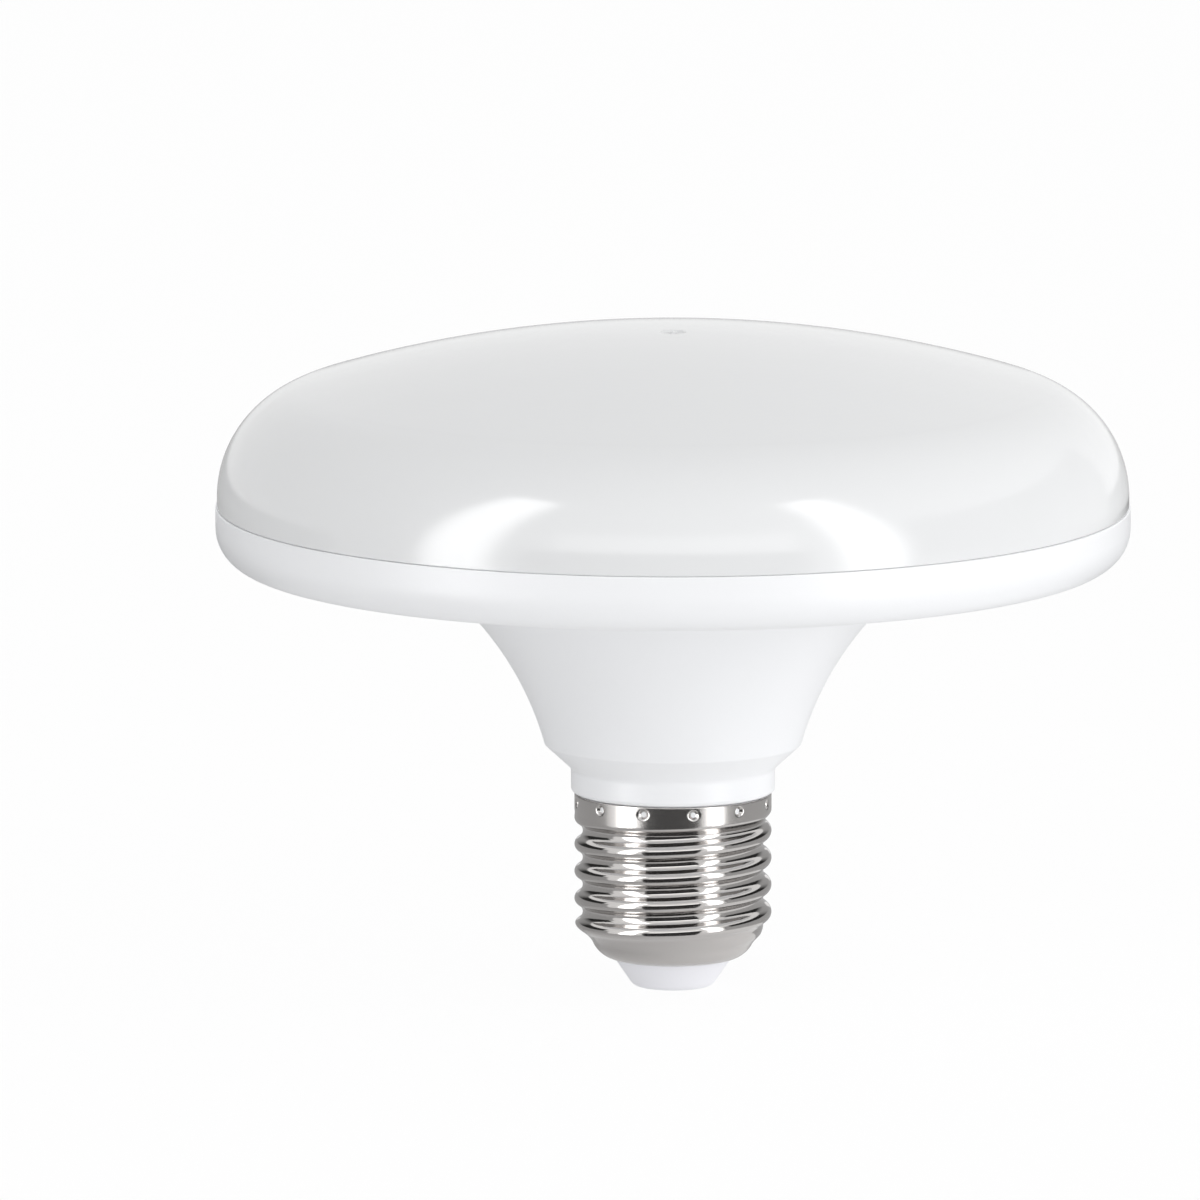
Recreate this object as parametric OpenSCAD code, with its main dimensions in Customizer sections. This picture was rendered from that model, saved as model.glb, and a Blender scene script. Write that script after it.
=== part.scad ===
// Wide, flat LED lamp with an E27 screw cap, drawn cap down.
// The origin is the tip of the centre contact, and +Z runs up the lamp's axis to the diffuser.

/* [Diffuser] */
// Height of the diffuser above the seam
dome_h = 23.2; // [20:0.2:27]
// Radius of the diffuser's rounded edge
dome_edge_r = 15; // [12:0.5:17]
// Height of the upright skirt under the rounded edge
dome_skirt = 1.3; // [0.8:0.1:2.5]
// Wall of the diffuser
diffuser_wall = 1.6; // [1.2:0.1:2.2]
// Wall of the plug that enters the rim
plug_wall = 1.2; // [0.9:0.1:1.6]
// Height of the snap bead on the plug
bead_h = 0.3; // [0.2:0.05:0.5]
// How far the rim stands proud of the diffuser
rim_step = 0.2; // [0.1:0.05:0.6]

/* [Rim] */
// Outer diameter of the rim
rim_d = 121; // [116:0.5:130]
// Height of the rim, from its underside to the seam
rim_h = 7.8; // [7.2:0.1:10]
// Radius of the rim's lower edge
rim_edge_r = 5; // [3.5:0.1:5.4]
// Wall of the housing
housing_wall = 1.8; // [1.5:0.1:2.2]

/* [Neck] */
// Outer diameter of the collar above the screw cap
collar_d = 27; // [26.6:0.1:29]
// Height of the collar
collar_h = 3.3; // [2.6:0.1:5]
// Outer diameter of the neck at its shoulder
neck_d = 34; // [33:0.2:37]
// Height of the slanted shoulder between collar and neck
shoulder_h = 3.2; // [2.6:0.1:4.2]
// Height of the flare, from the shoulder to the rim's underside
flare_h = 24; // [22:0.5:27]
// Radius of the flare's curve
flare_r = 43; // [40:0.5:48]
// Lean of the flare from upright where it leaves the shoulder
flare_lean = 15.5; // [13:0.5:18]
// Radius where the flare meets the rim's underside
flare_blend_r = 2; // [1:0.5:3]

/* [Spigot] */
// Outer diameter of the spigot inside the thread
spigot_d = 22.8; // [22:0.1:23]
// Wall of the spigot
spigot_wall = 1.5; // [1.2:0.1:1.7]

/* [Screw cap] */
// Outer diameter over the thread crests
cap_d = 26.1; // [25.8:0.05:26.4]
// Height of the shell, from its lower lip to its top edge
cap_h = 22.1; // [20.5:0.1:23.5]
// Sheet thickness of the shell
cap_wall = 0.3; // [0.25:0.01:0.35]
// Height of the plain band above the thread
band_h = 2.1; // [1.9:0.1:3]
// Depth of the rolled thread
thread_depth = 1.1; // [0.9:0.05:1.15]
// Pitch of the thread
thread_pitch = 3.629; // [3.4:0.001:3.8]
// Diameter where the shell's rounded end begins
cap_base_d = 21.8; // [21.2:0.1:22.4]
// Radius of the shell's rounded end
cap_end_r = 3.5; // [3.2:0.1:4]
// Diameter of the opening in the shell's end
lip_d = 15.8; // [15:0.1:16.4]
// Number of crimp dents in the band
crimp_count = 12; // [6:1:16]
// Radius of the punch that makes a dent
crimp_r = 0.75; // [0.6:0.05:0.85]
// Depth of a dent
crimp_depth = 0.4; // [0.25:0.05:0.5]

/* [Insulator and contact] */
// Height of the insulator's visible cone
insulator_h = 3.8; // [3.2:0.1:5]
// Diameter of the insulator at its foot
insulator_foot_d = 10.4; // [9.6:0.1:11.4]
// Radius of the insulator's lower edge
insulator_edge_r = 1.5; // [1:0.1:1.8]
// Height of the insulator inside the shell
insulator_inner_h = 3; // [2.5:0.1:3.3]
// Diameter of the contact's head
contact_d = 5.6; // [5:0.1:6.4]
// Thickness of the contact's head
contact_t = 0.85; // [0.7:0.05:1.2]
// Diameter of the contact's flat tip
contact_tip_d = 3.2; // [2.6:0.1:4]
// How far the contact stands out of the insulator
contact_proud = 0.4; // [0.25:0.05:0.6]
// Diameter of the contact's shank
shank_d = 2; // [1.6:0.1:2.6]

/* [Heat sink and LED board] */
// Thickness of the heat sink plate
sink_t = 1; // [0.8:0.1:1.4]
// Height of the heat sink plate above the housing's floor
boss_h = 2.3; // [1.9:0.1:3]
// Radius of the bend at the heat sink's edge
sink_bend_r = 1.6; // [1.5:0.1:1.9]
// Thickness of the LED board
led_board_t = 1; // [0.8:0.1:1.6]
// Width of the heat sink left bare around the LED board
board_margin = 4; // [3:0.5:6]
// Diameter of the wire hole through heat sink and board
wire_hole_d = 11; // [9:0.5:14]
// Distance of the board screws from the board's edge
screw_inset = 5; // [4:0.5:6]
// Number of board screws
screw_count = 3; // [3:1:4]
// Diameter of a screw's head
screw_head_d = 4.8; // [4.4:0.1:5.4]
// Height of a screw's head
screw_head_h = 1.5; // [1.2:0.1:1.8]
// Diameter of a screw's shank
screw_d = 2.4; // [2.2:0.1:2.8]
// Length of a screw's shank
screw_l = 5; // [4.2:0.1:5.2]
// Outer diameter of a screw boss
boss_d = 5.6; // [5:0.1:7]

/* [LEDs] */
// Number of LEDs in the outer ring
outer_leds = 16; // [10:1:20]
// Number of LEDs in the inner ring
inner_leds = 8; // [4:1:9]
// Distance of the outer ring from the board's edge
outer_ring_inset = 12; // [10.5:0.5:15]
// Radius of the inner ring
inner_ring_r = 22; // [19:0.5:28]
// Length of an LED package
led_l = 3.5; // [3:0.1:5]
// Width of an LED package
led_w = 2.8; // [2.4:0.1:3.5]
// Height of an LED package
led_h = 0.7; // [0.6:0.05:1]
// Depth of the phosphor window in an LED package
led_window_depth = 0.12; // [0.08:0.01:0.2]

/* [LED connector] */
// Length of the connector, along its wires
connector_l = 6; // [5:0.5:8]
// Width of the connector
connector_w = 6; // [5.5:0.1:8]
// Height of the connector
connector_h = 3; // [2.8:0.1:4]

/* [Driver board] */
// Thickness of the driver board
driver_t = 1.2; // [1:0.1:1.6]
// Distance of the board's component face behind the axis
driver_back = 2.4; // [2:0.1:3]
// Height of the board's lower end above the spigot's end
driver_lift = 1; // [0.6:0.1:2]
// Bare height at the top of the board
driver_top_edge = 2.5; // [2:0.1:4]
// Gap between neighbours on the board
part_gap = 0.8; // [0.5:0.1:1]
// Thickness of the ribs that hold the board
rib_t = 1; // [0.8:0.1:1.4]
// Height of the ribs that hold the board
rib_h = 11; // [8:0.5:13]
// Depth of the board's edge inside its ribs
rib_grip = 1.5; // [1:0.1:2]

/* [Driver parts] */
// Diameter of component leads
lead_d = 0.6; // [0.5:0.05:0.7]
// Length of the leads behind the board
lead_stub = 1; // [0.8:0.1:1.4]
// Diameter of the fuse resistor
fuse_d = 2.6; // [2.2:0.1:3]
// Length of the fuse resistor
fuse_l = 6.5; // [6:0.1:8]
// Diameter of the varistor disc
varistor_d = 7; // [6:0.1:7.5]
// Thickness of the varistor disc
varistor_t = 3; // [2.5:0.1:3.6]
// Diameter of the filter choke
choke_d = 6; // [5.4:0.1:6.4]
// Height of the filter choke
choke_h = 7.5; // [6:0.1:8]
// Thickness of the film capacitor
film_t = 4.2; // [3.6:0.1:4.6]
// Length of the film capacitor
film_l = 8; // [7.2:0.1:9]
// Height of the film capacitor
film_h = 7.5; // [6:0.1:8.5]
// Diameter of the input capacitor
input_cap_d = 8; // [6.3:0.1:8.4]
// Height of the input capacitor
input_cap_h = 9; // [8:0.1:9.4]
// Diameter of the output capacitor
output_cap_d = 9; // [8:0.1:9.6]
// Height of the output capacitor
output_cap_h = 11; // [9:0.1:11.6]
// Width of the inductor
inductor_w = 13; // [12.4:0.1:13.4]
// Length of the inductor, up the board
inductor_l = 11; // [10.4:0.1:12]
// Height of the inductor above the board
inductor_h = 11; // [10:0.1:11.4]
// Thickness of the inductor's ferrite frame
core_t = 2; // [1.6:0.1:2.4]
// Width of the ferrite frame, up the board
core_l = 5; // [4:0.1:6.4]
// Gap between the inductor's winding and its frame
winding_gap = 0.8; // [0.4:0.1:1.2]
// Thickness of the inductor's winding
winding_t = 1.4; // [1:0.1:1.6]

/* [Wires] */
// Diameter of the insulated wires
wire_d = 1.3; // [1.1:0.05:1.5]
// Diameter of the bare neutral wire
neutral_d = 0.9; // [0.7:0.05:1]

/* [Fits] */
// Gap at the seam between shell and collar
cap_gap = 0.1; // [0.05:0.01:0.2]
// Clearance between pieces that slide together
fit = 0.1; // [0.05:0.01:0.15]
// Clearance around the diffuser's plug
plug_fit = 0.15; // [0.1:0.01:0.2]
// Clearance around loose plates and boards
loose_fit = 0.3; // [0.2:0.05:0.4]

/* [Hidden] */
$fn = 64;
led_count = outer_leds + inner_leds;

// Heights up the lamp, from the contact's tip
z_lip = contact_proud + insulator_h;
z_cap_top = z_lip + cap_h;
z_band = z_cap_top - band_h;
z_collar = z_cap_top + cap_gap;
z_shoulder = z_collar + collar_h;
z_neck = z_shoulder + shoulder_h;
z_under = z_neck + flare_h;
z_floor = z_under + housing_wall;
z_seam = z_under + rim_h;
z_sink = z_floor + boss_h;
z_led_board = z_sink + sink_t;
z_leds = z_led_board + led_board_t;

// Radii of the housing and the diffuser
rim_r = rim_d / 2;
rim_in_r = rim_r - housing_wall;
rim_edge_in_r = rim_edge_r - housing_wall;
dome_r = rim_r - rim_step;
plug_r = rim_in_r - plug_fit;
plug_in_r = plug_r - plug_wall;
z_plug = z_under + rim_edge_r;
z_bead = (z_plug + z_seam) / 2;
seam_chamfer = 0.25;
collar_r = collar_d / 2;
neck_r = neck_d / 2;
collar_bore_r = collar_r - housing_wall;
collar_lip_r = 0.35;
collar_fillet_r = 1;
shoulder_edge_r = 0.6;

// Curve of the flare: its centre lies outside the neck
flare_o = [neck_r + flare_r * cos(flare_lean), z_neck - flare_r * sin(flare_lean)];
flare_in_r = flare_r + housing_wall;
flare_top_a = 180 - asin((z_under - flare_o.y) / flare_r);
flare_in_top_a = 180 - asin((z_floor - flare_o.y) / flare_in_r);
z_flare_in = z_neck + housing_wall / 2;
flare_in_foot_a = 180 - asin((z_flare_in - flare_o.y) / flare_in_r);

// Radii of the screw cap; its rounded end is an arc about cap_end_o
cap_r = cap_d / 2;
minor_r = cap_r - thread_depth;
cap_base_r = cap_base_d / 2;
lip_r = lip_d / 2;
cap_end_x = cap_base_r - cap_end_r;
cap_end_o = [cap_end_x, z_lip + sqrt(pow(cap_end_r, 2) - pow(lip_r - cap_end_x, 2))];
thread_run_out = 2;
minor_run_in = 2.8;
crest_run_in = 2.2;
crest_start = 0.3;
crest_above_lip = 17;
crest_z0 = z_lip + crest_above_lip;
crimp_a0 = -77.9 - 90;

// Radii of the spigot, which stops above the thread's first turn
spigot_r = spigot_d / 2;
spigot_bore_r = spigot_r - spigot_wall;
seat_r = cap_r - cap_wall - fit;
spigot_gap = 0.5;
z_spigot = cap_end_o.y + minor_run_in + spigot_gap;
bore_widens = 1;

// Insulator and contact
insulator_neck_r = lip_r - fit;
insulator_arc_r = cap_end_r - cap_wall - fit;
z_insulator_top = z_lip + insulator_inner_h;
insulator_bore_r = shank_d / 2 + fit / 2;
rivet_h = 0.4;
z_shank_top = z_insulator_top + rivet_h;

// Bare neutral wire in the spigot's slot, beside the thread's roots
neutral_y = 1.2;
neutral_x = sqrt(pow(minor_r - cap_wall - fit - neutral_d / 2, 2) - pow(neutral_y, 2));
neutral_up = 6;

// Heat sink, LED board and screws
sink_r = plug_in_r - loose_fit;
led_board_r = sink_r - board_margin;
screw_ring_r = led_board_r - screw_inset;
screw_hole_r = screw_d / 2 + loose_fit;
outer_ring_r = led_board_r - outer_ring_inset;
screw_a0 = 180 / outer_leds;
boss_floor_t = 0.7;
connector_off = 1;
connector_back_t = 1;

// Driver board: the face that carries the parts looks along +Y
driver_face = -driver_back;
driver_rear = driver_face - driver_t;
z_driver = z_spigot + driver_lift;
driver_low_w = 2 * sqrt(pow(spigot_bore_r - loose_fit, 2) - pow(driver_rear, 2));
pad_edge = 1.6;
pad_inset = 2.6;
z_pad = z_driver + pad_edge;
pad_x = driver_low_w / 2 - pad_inset;
lead_hole_r = lead_d / 2 + fit;
wire_hole_r = wire_d / 2 + fit;

// The board's wide end is as wide as its row of large parts, and starts where the flare has room
row_4_w = inductor_w + part_gap + output_cap_d;
driver_w = row_4_w + 2 * (part_gap + rib_grip);
driver_reach = norm([driver_w / 2, driver_rear]) + 2 * loose_fit;
z_flare_room = flare_o.y + sqrt(max(0, pow(flare_in_r, 2) - pow(flare_o.x - driver_reach, 2)));
z_driver_wide = max(z_flare_in, z_flare_room);
rib_drop = 1;

// Rows of parts up the driver board, each clear of the one below
z_fuse = z_pad + wire_hole_r + part_gap + fuse_d / 2;
z_row_2 = z_fuse + fuse_d / 2 + part_gap;
z_row_3 = z_row_2 + max(varistor_t, choke_d) + part_gap;
z_row_4 = max(z_row_3 + max(film_l, input_cap_d), z_driver_wide) + part_gap;
z_driver_top = z_row_4 + max(inductor_l, output_cap_d) + driver_top_edge;
row_2_w = varistor_d + part_gap + choke_d;
row_3_w = film_t + part_gap + input_cap_d;
radial_pitch = 3.5;
box_pitch = 5;
fuse_bend = 1.75;
fuse_off = 0.2;
fuse_pitch = fuse_l + 2 * fuse_bend;
varistor_off = 0.3;
varistor_at = [(varistor_d - row_2_w) / 2, z_row_2 + varistor_t / 2];
choke_at = [(row_2_w - choke_d) / 2, z_row_2 + choke_d / 2];
film_at = [(film_t - row_3_w) / 2, z_row_3 + film_l / 2];
input_cap_at = [(row_3_w - input_cap_d) / 2, z_row_3 + input_cap_d / 2];
output_cap_at = [(row_4_w - output_cap_d) / 2, z_row_4 + output_cap_d / 2];
inductor_at = [(inductor_w - row_4_w) / 2, z_row_4 + inductor_l / 2];
pin_inset = [1.5, 1];
inductor_pins = [for (sx = [-1, 1], sz = [-1, 1])
    inductor_at + [sx * (inductor_w / 2 - pin_inset.x), sz * (inductor_l / 2 - pin_inset.y)]];
led_pad_x = 2.2;
led_pads = [for (sx = [-1, 1]) [sx * led_pad_x, z_driver_top - pad_edge / 2 - wire_d / 2]];

// Inductor, from the frame's window inwards: winding, bobbin tube, middle limb
core_foot = 1;
flange_t = 0.7;
bobbin_wall = 0.6;
winding_d = inductor_w - 2 * core_t - 2 * winding_gap;
bobbin_tube_d = winding_d - 2 * winding_t - 2 * fit;
bobbin_bore_d = bobbin_tube_d - 2 * bobbin_wall;
limb_d = bobbin_bore_d - 2 * fit;
bobbin_low = core_foot + core_t + fit;
bobbin_top = inductor_h - core_t - fit;
flange_d = inductor_w - 2 * core_t - 2 * fit;

// Surface-mount parts on the rear face: length, width, height, and place behind a part in front
ic_size = [4.9, 3.9, 1.5];
bridge_size = [4.7, 3.9, 1.5];
diode_size = [4.3, 2.6, 2.1];
diode_terminal = [1.2, 1, 1.6];
chip_size = [3.2, 1.6, 0.6];
chip_pitch = 2.5;
gull_lead = [0.4, 1];
gull_pitch = [1.27, 2.5];
ic_at = inductor_at + [0, 1.4];
diode_at = inductor_at - [0, 3.7];
bridge_at = output_cap_at + [1.4, 5];
chip_at = [output_cap_at.x - output_cap_d / 2 + 0.3, z_row_4 + 2];

// Smooth step from 0 to 1
function smooth(t) = let (c = min(max(t, 0), 1)) c * c * (3 - 2 * c);

// Points along an arc
function arc(o, r, a0, a1, n = 24) = [for (i = [0 : n])
    let (a = a0 + (a1 - a0) * i / n) o + r * [cos(a), sin(a)]];

// Points of a round of radius r at corner b, between its neighbours a and c
function round_corner(a, b, c, r, n = 8) =
    let (u = (a - b) / norm(a - b),
         v = (c - b) / norm(c - b),
         half = acos(u * v) / 2,
         m = (u + v) / norm(u + v),
         o = b + m * r / sin(half),
         p = b + u * r / tan(half) - o,
         q = b + v * r / tan(half) - o,
         a0 = atan2(p.y, p.x),
         sweep = (atan2(q.y, q.x) - a0 + 540) % 360 - 180)
    arc(o, r, a0, a0 + sweep, n);

// Points of a curve through the listed points, n steps between each two
function curve(pts, n = 4) = let (last = len(pts) - 1) concat(
    [for (i = [0 : last - 1])
        let (p0 = pts[max(i - 1, 0)], p1 = pts[i], p2 = pts[i + 1], p3 = pts[min(i + 2, last)])
        for (k = [0 : n - 1])
            let (t = k / n)
            0.5 * (2 * p1 + (p2 - p0) * t + (2 * p0 - 5 * p1 + 4 * p2 - p3) * t * t
                   + (3 * p1 - p0 - 3 * p2 + p3) * t * t * t)],
    [pts[last]]);

function unit(v) = v / norm(v);

// Round tube of radius r along a path; each ring's side vector is the last one squared to the path
module tube(path, r, sides = 8) {
    last = len(path) - 1;
    along = [for (i = [0 : last]) unit(path[min(i + 1, last)] - path[max(i - 1, 0)])];
    start = abs(along[0].x) < 0.9 ? [1, 0, 0] : [0, 1, 0];
    side = [for (i = 0, s = unit(start - (start * along[0]) * along[0]);
                 i <= last;
                 i = i + 1,
                 s = i <= last ? unit(s - (s * along[i]) * along[i]) : s) s];
    rings = [for (i = [0 : last], k = [0 : sides - 1])
        let (a = 360 * k / sides)
        path[i] + r * (cos(a) * side[i] + sin(a) * cross(along[i], side[i]))];
    walls = [for (i = [0 : last - 1], k = [0 : sides - 1])
        let (m = (k + 1) % sides, b = i * sides, t = b + sides)
        each [[b + k, t + k, t + m], [b + k, t + m, b + m]]];
    ends = [[for (k = [0 : sides - 1]) k], [for (k = [sides - 1 : -1 : 0]) last * sides + k]];
    polyhedron(rings, concat(walls, ends));
}

// Stands a shape drawn along +Z on the driver board's component face at [x, z]
module on_driver(at) {
    translate([at.x, driver_face, at.y])
        rotate([-90, 0, 0])
            children();
}

// Two leads from a part on the driver board, through the board to its rear
module leads(at, pitch, across = true) {
    for (s = [-1, 1])
        lead(at + s * pitch / 2 * (across ? [1, 0] : [0, 1]));
}

module lead(at) {
    translate([at.x, driver_face + part_gap, at.y])
        rotate([90, 0, 0])
            cylinder(d = lead_d, h = part_gap + driver_t + lead_stub);
}

// Opal dome with a plug and a snap bead below the seam
module diffuser() {
    edge_o = [dome_r - dome_edge_r, z_seam + dome_skirt];
    rise = dome_h - dome_skirt;
    crown_r = (pow(edge_o.x, 2) + rise * rise - pow(dome_edge_r, 2)) / (2 * (rise - dome_edge_r));
    crown_o = [0, z_seam + dome_h - crown_r];
    crown_a = atan2(edge_o.y - crown_o.y, edge_o.x);
    inner_edge_r = dome_edge_r - diffuser_wall;
    inner_edge_x = edge_o.x + inner_edge_r;
    color("ghostwhite")
        rotate_extrude()
            polygon(concat(
                [[plug_in_r, z_plug],
                 [plug_r - seam_chamfer, z_plug],
                 [plug_r, z_plug + seam_chamfer]],
                arc([plug_r, z_bead], bead_h, -90, 90, 8),
                [[plug_r, z_seam],
                 [dome_r - seam_chamfer, z_seam],
                 [dome_r, z_seam + seam_chamfer]],
                arc(edge_o, dome_edge_r, 0, crown_a),
                arc(crown_o, crown_r, crown_a, 90),
                arc(crown_o, crown_r - diffuser_wall, 90, crown_a),
                arc(edge_o, inner_edge_r, crown_a, 0),
                [[plug_in_r, z_seam + dome_skirt]]));
}

// White moulded body: rim, flare, shoulder, collar and the spigot inside the screw cap
module housing() {
    groove_r = bead_h + plug_fit;
    color("white")
        difference() {
            union() {
                rotate_extrude()
                    polygon(concat(
                        [[spigot_bore_r, z_spigot],
                         [spigot_r, z_spigot],
                         [spigot_r, z_band - (seat_r - spigot_r)],
                         [seat_r, z_band],
                         [seat_r, z_collar]],
                        round_corner([seat_r, z_collar], [collar_r, z_collar],
                                     [collar_r, z_shoulder], collar_lip_r, 4),
                        round_corner([collar_r, z_collar], [collar_r, z_shoulder],
                                     [neck_r, z_neck], collar_fillet_r),
                        round_corner([collar_r, z_shoulder], [neck_r, z_neck],
                                     flare_o + flare_r * [cos(175 - flare_lean), sin(175 - flare_lean)],
                                     shoulder_edge_r),
                        flare_curve(),
                        round_corner(flare_o + flare_r * [cos(flare_top_a + 4), sin(flare_top_a + 4)],
                                     flare_o + flare_r * [cos(flare_top_a), sin(flare_top_a)],
                                     [rim_r, z_under], flare_blend_r),
                        arc([rim_r - rim_edge_r, z_under + rim_edge_r], rim_edge_r, -90, 0, 12),
                        [[rim_r, z_seam - seam_chamfer],
                         [rim_r - seam_chamfer, z_seam],
                         [rim_in_r, z_seam]],
                        arc([rim_in_r - plug_fit, z_bead], groove_r, 70, -70, 8),
                        arc([rim_in_r - rim_edge_in_r, z_floor + rim_edge_in_r], rim_edge_in_r, 0, -90, 8),
                        arc(flare_o, flare_in_r, flare_in_top_a, flare_in_foot_a),
                        [[collar_bore_r, z_shoulder + housing_wall / 2],
                         [collar_bore_r, z_collar + bore_widens],
                         [spigot_bore_r, z_collar + bore_widens - (collar_bore_r - spigot_bore_r)]]));
                board_ribs();
                on_screw_ring()
                    translate([0, 0, z_floor - housing_wall / 2])
                        cylinder(d = boss_d, h = boss_h + housing_wall / 2);
            }
            on_screw_ring()
                translate([0, 0, z_under + boss_floor_t])
                    cylinder(r = screw_d / 2 + fit / 2, h = rim_h);
            crimp_ring(crimp_r + cap_wall + fit / 2);
            neutral_groove();
        }
}

// Outer curve of the flare between its two rounded ends
function flare_curve() = arc(flare_o, flare_r, 179 - flare_lean, flare_top_a + 5);

// Copies a shape to each board screw
module on_screw_ring() {
    for (i = [0 : screw_count - 1])
        rotate([0, 0, screw_a0 + 360 * i / screw_count])
            translate([screw_ring_r, 0, 0])
                children();
}

// Two pairs of upright ribs that hold the driver board by its edges
module board_ribs() {
    intersection() {
        for (sx = [-1, 1], face = [driver_face + fit, driver_rear - fit - rib_t])
            translate([sx > 0 ? driver_w / 2 - rib_grip : -2 * neck_r, face, z_driver_wide - rib_drop])
                cube([2 * neck_r - driver_w / 2 + rib_grip, rib_t, rib_h]);
        rotate_extrude()
            polygon(concat(
                [[0, z_shoulder + housing_wall],
                 [collar_bore_r + housing_wall / 2, z_shoulder + housing_wall]],
                arc(flare_o, flare_r + housing_wall / 2, flare_in_foot_a, flare_in_top_a + 5),
                [[0, z_under]]));
    }
}

// Balls round the band where the shell is punched into the spigot
module crimp_ring(r) {
    for (i = [0 : crimp_count - 1])
        rotate([0, 0, crimp_a0 + 360 * i / crimp_count])
            translate([cap_r + crimp_r - crimp_depth, 0, z_band + band_h / 2])
                sphere(r = r);
}

// Slot in the spigot for the bare neutral wire
module neutral_groove() {
    translate([neutral_x - neutral_d / 2 - fit, neutral_y - neutral_d / 2 - fit, z_spigot - 1])
        cube([cap_r, neutral_d + 2 * fit, neutral_up + 2]);
}

// Nickel-plated shell: plain band with crimp dents, rolled thread and rounded end
module screw_cap() {
    color("silver") {
        union() {
            difference() {
                union() {
                    rotate_extrude()
                        polygon([[cap_r - cap_wall, z_band],
                                 [cap_r, z_band],
                                 [cap_r, z_cap_top],
                                 [cap_r - cap_wall, z_cap_top]]);
                    intersection() {
                        crimp_ring(crimp_r + cap_wall);
                        translate([0, 0, z_band])
                            cylinder(r = cap_r - cap_wall / 2, h = band_h);
                    }
                }
                crimp_ring(crimp_r);
            }
            thread_sheet();
            rotate_extrude()
                polygon(concat(
                    arc(cap_end_o, cap_end_r, -acos((lip_r - cap_end_x) / cap_end_r), -8, 16),
                    arc(cap_end_o, cap_end_r - cap_wall, -8, -acos((lip_r - cap_end_x) / cap_end_r), 16)));
        }
    }
}

// Outer radius of the threaded sheet at height z and angle a: a wave between two envelopes
function minor_at(z) = cap_base_r
    + (minor_r - cap_base_r) * smooth((z - cap_end_o.y) / minor_run_in)
    + (cap_r - minor_r) * smooth((z - z_band + thread_run_out) / thread_run_out);
function crest_at(z) = max(minor_at(z),
    cap_base_r + (cap_r - cap_base_r) * smooth((z - cap_end_o.y + crest_start) / crest_run_in));
function thread_at(z, a) =
    let (phase = 360 * (z - crest_z0) / thread_pitch - a)
    minor_at(z) + (crest_at(z) - minor_at(z)) * (1 + cos(phase)) / 2;

// Threaded sheet as one closed skin: rows of points up the outside, then down the inside.
// Its first and last rows are thinner and end inside the band and the rounded end.
module thread_sheet(sides = 40, rows = 37) {
    below = 0.2;
    tongue = 0.4;
    z0 = cap_end_o.y - below;
    z1 = z_band - below;
    end_a = asin((z0 - tongue - cap_end_o.y) / cap_end_r);
    end_r = cap_end_x + cap_end_r * cos(end_a);
    thin = cap_wall / 6;
    ring_z = concat([z0 - tongue], [for (i = [0 : rows - 1]) z0 + (z1 - z0) * i / (rows - 1)], [z1 + tongue]);
    n = len(ring_z);
    outer = [for (i = [0 : n - 1], k = [0 : sides - 1])
        let (a = 360 * k / sides,
             r = i == 0 ? end_r - thin : i == n - 1 ? cap_r - thin : thread_at(ring_z[i], a))
        [r * cos(a), r * sin(a), ring_z[i]]];
    inner = [for (i = [0 : n - 1], k = [0 : sides - 1])
        let (a = 360 * k / sides,
             r = i == 0 ? end_r - cap_wall + thin
               : i == n - 1 ? cap_r - cap_wall + thin
               : thread_at(ring_z[i], a) - cap_wall)
        [r * cos(a), r * sin(a), ring_z[i]]];
    m = n * sides;
    skin = [for (i = [0 : n - 2], k = [0 : sides - 1])
        let (j = (k + 1) % sides, b = i * sides, t = b + sides)
        each [[b + k, t + k, t + j], [b + k, t + j, b + j],
              [m + b + k, m + t + j, m + t + k], [m + b + k, m + b + j, m + t + j]]];
    rims = [for (k = [0 : sides - 1])
        let (j = (k + 1) % sides, t = (n - 1) * sides)
        each [[k, j, m + j], [k, m + j, m + k],
              [t + k, m + t + k, m + t + j], [t + k, m + t + j, t + j]]];
    polyhedron(concat(outer, inner), concat(skin, rims));
}

// White plastic cone that closes the shell and carries the contact
module cap_insulator() {
    foot = [insulator_foot_d / 2, contact_proud];
    neck = [insulator_neck_r, z_lip];
    arc_foot_a = -acos((insulator_neck_r - cap_end_x) / insulator_arc_r);
    arc_top_a = asin((z_insulator_top - cap_end_o.y) / insulator_arc_r);
    head_hole_r = contact_d / 2 + fit;
    color("whitesmoke")
        rotate_extrude()
            polygon(concat(
                [[head_hole_r, contact_proud]],
                round_corner([head_hole_r, contact_proud], foot, neck, insulator_edge_r),
                [neck],
                arc(cap_end_o, insulator_arc_r, arc_foot_a, arc_top_a, 12),
                [[insulator_bore_r, z_insulator_top],
                 [insulator_bore_r, contact_t],
                 [head_hole_r, contact_t]]));
}

// Nail-shaped contact with a low domed head
module centre_contact() {
    tip_r = contact_tip_d / 2;
    head_r = contact_d / 2;
    color("silver")
        rotate_extrude()
            polygon([[0, 0],
                     [tip_r, 0],
                     [(tip_r + head_r) / 2, 0.1],
                     [head_r, contact_t / 2],
                     [head_r, contact_t],
                     [shank_d / 2, contact_t],
                     [shank_d / 2, z_shank_top],
                     [0, z_shank_top]]);
}

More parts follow.
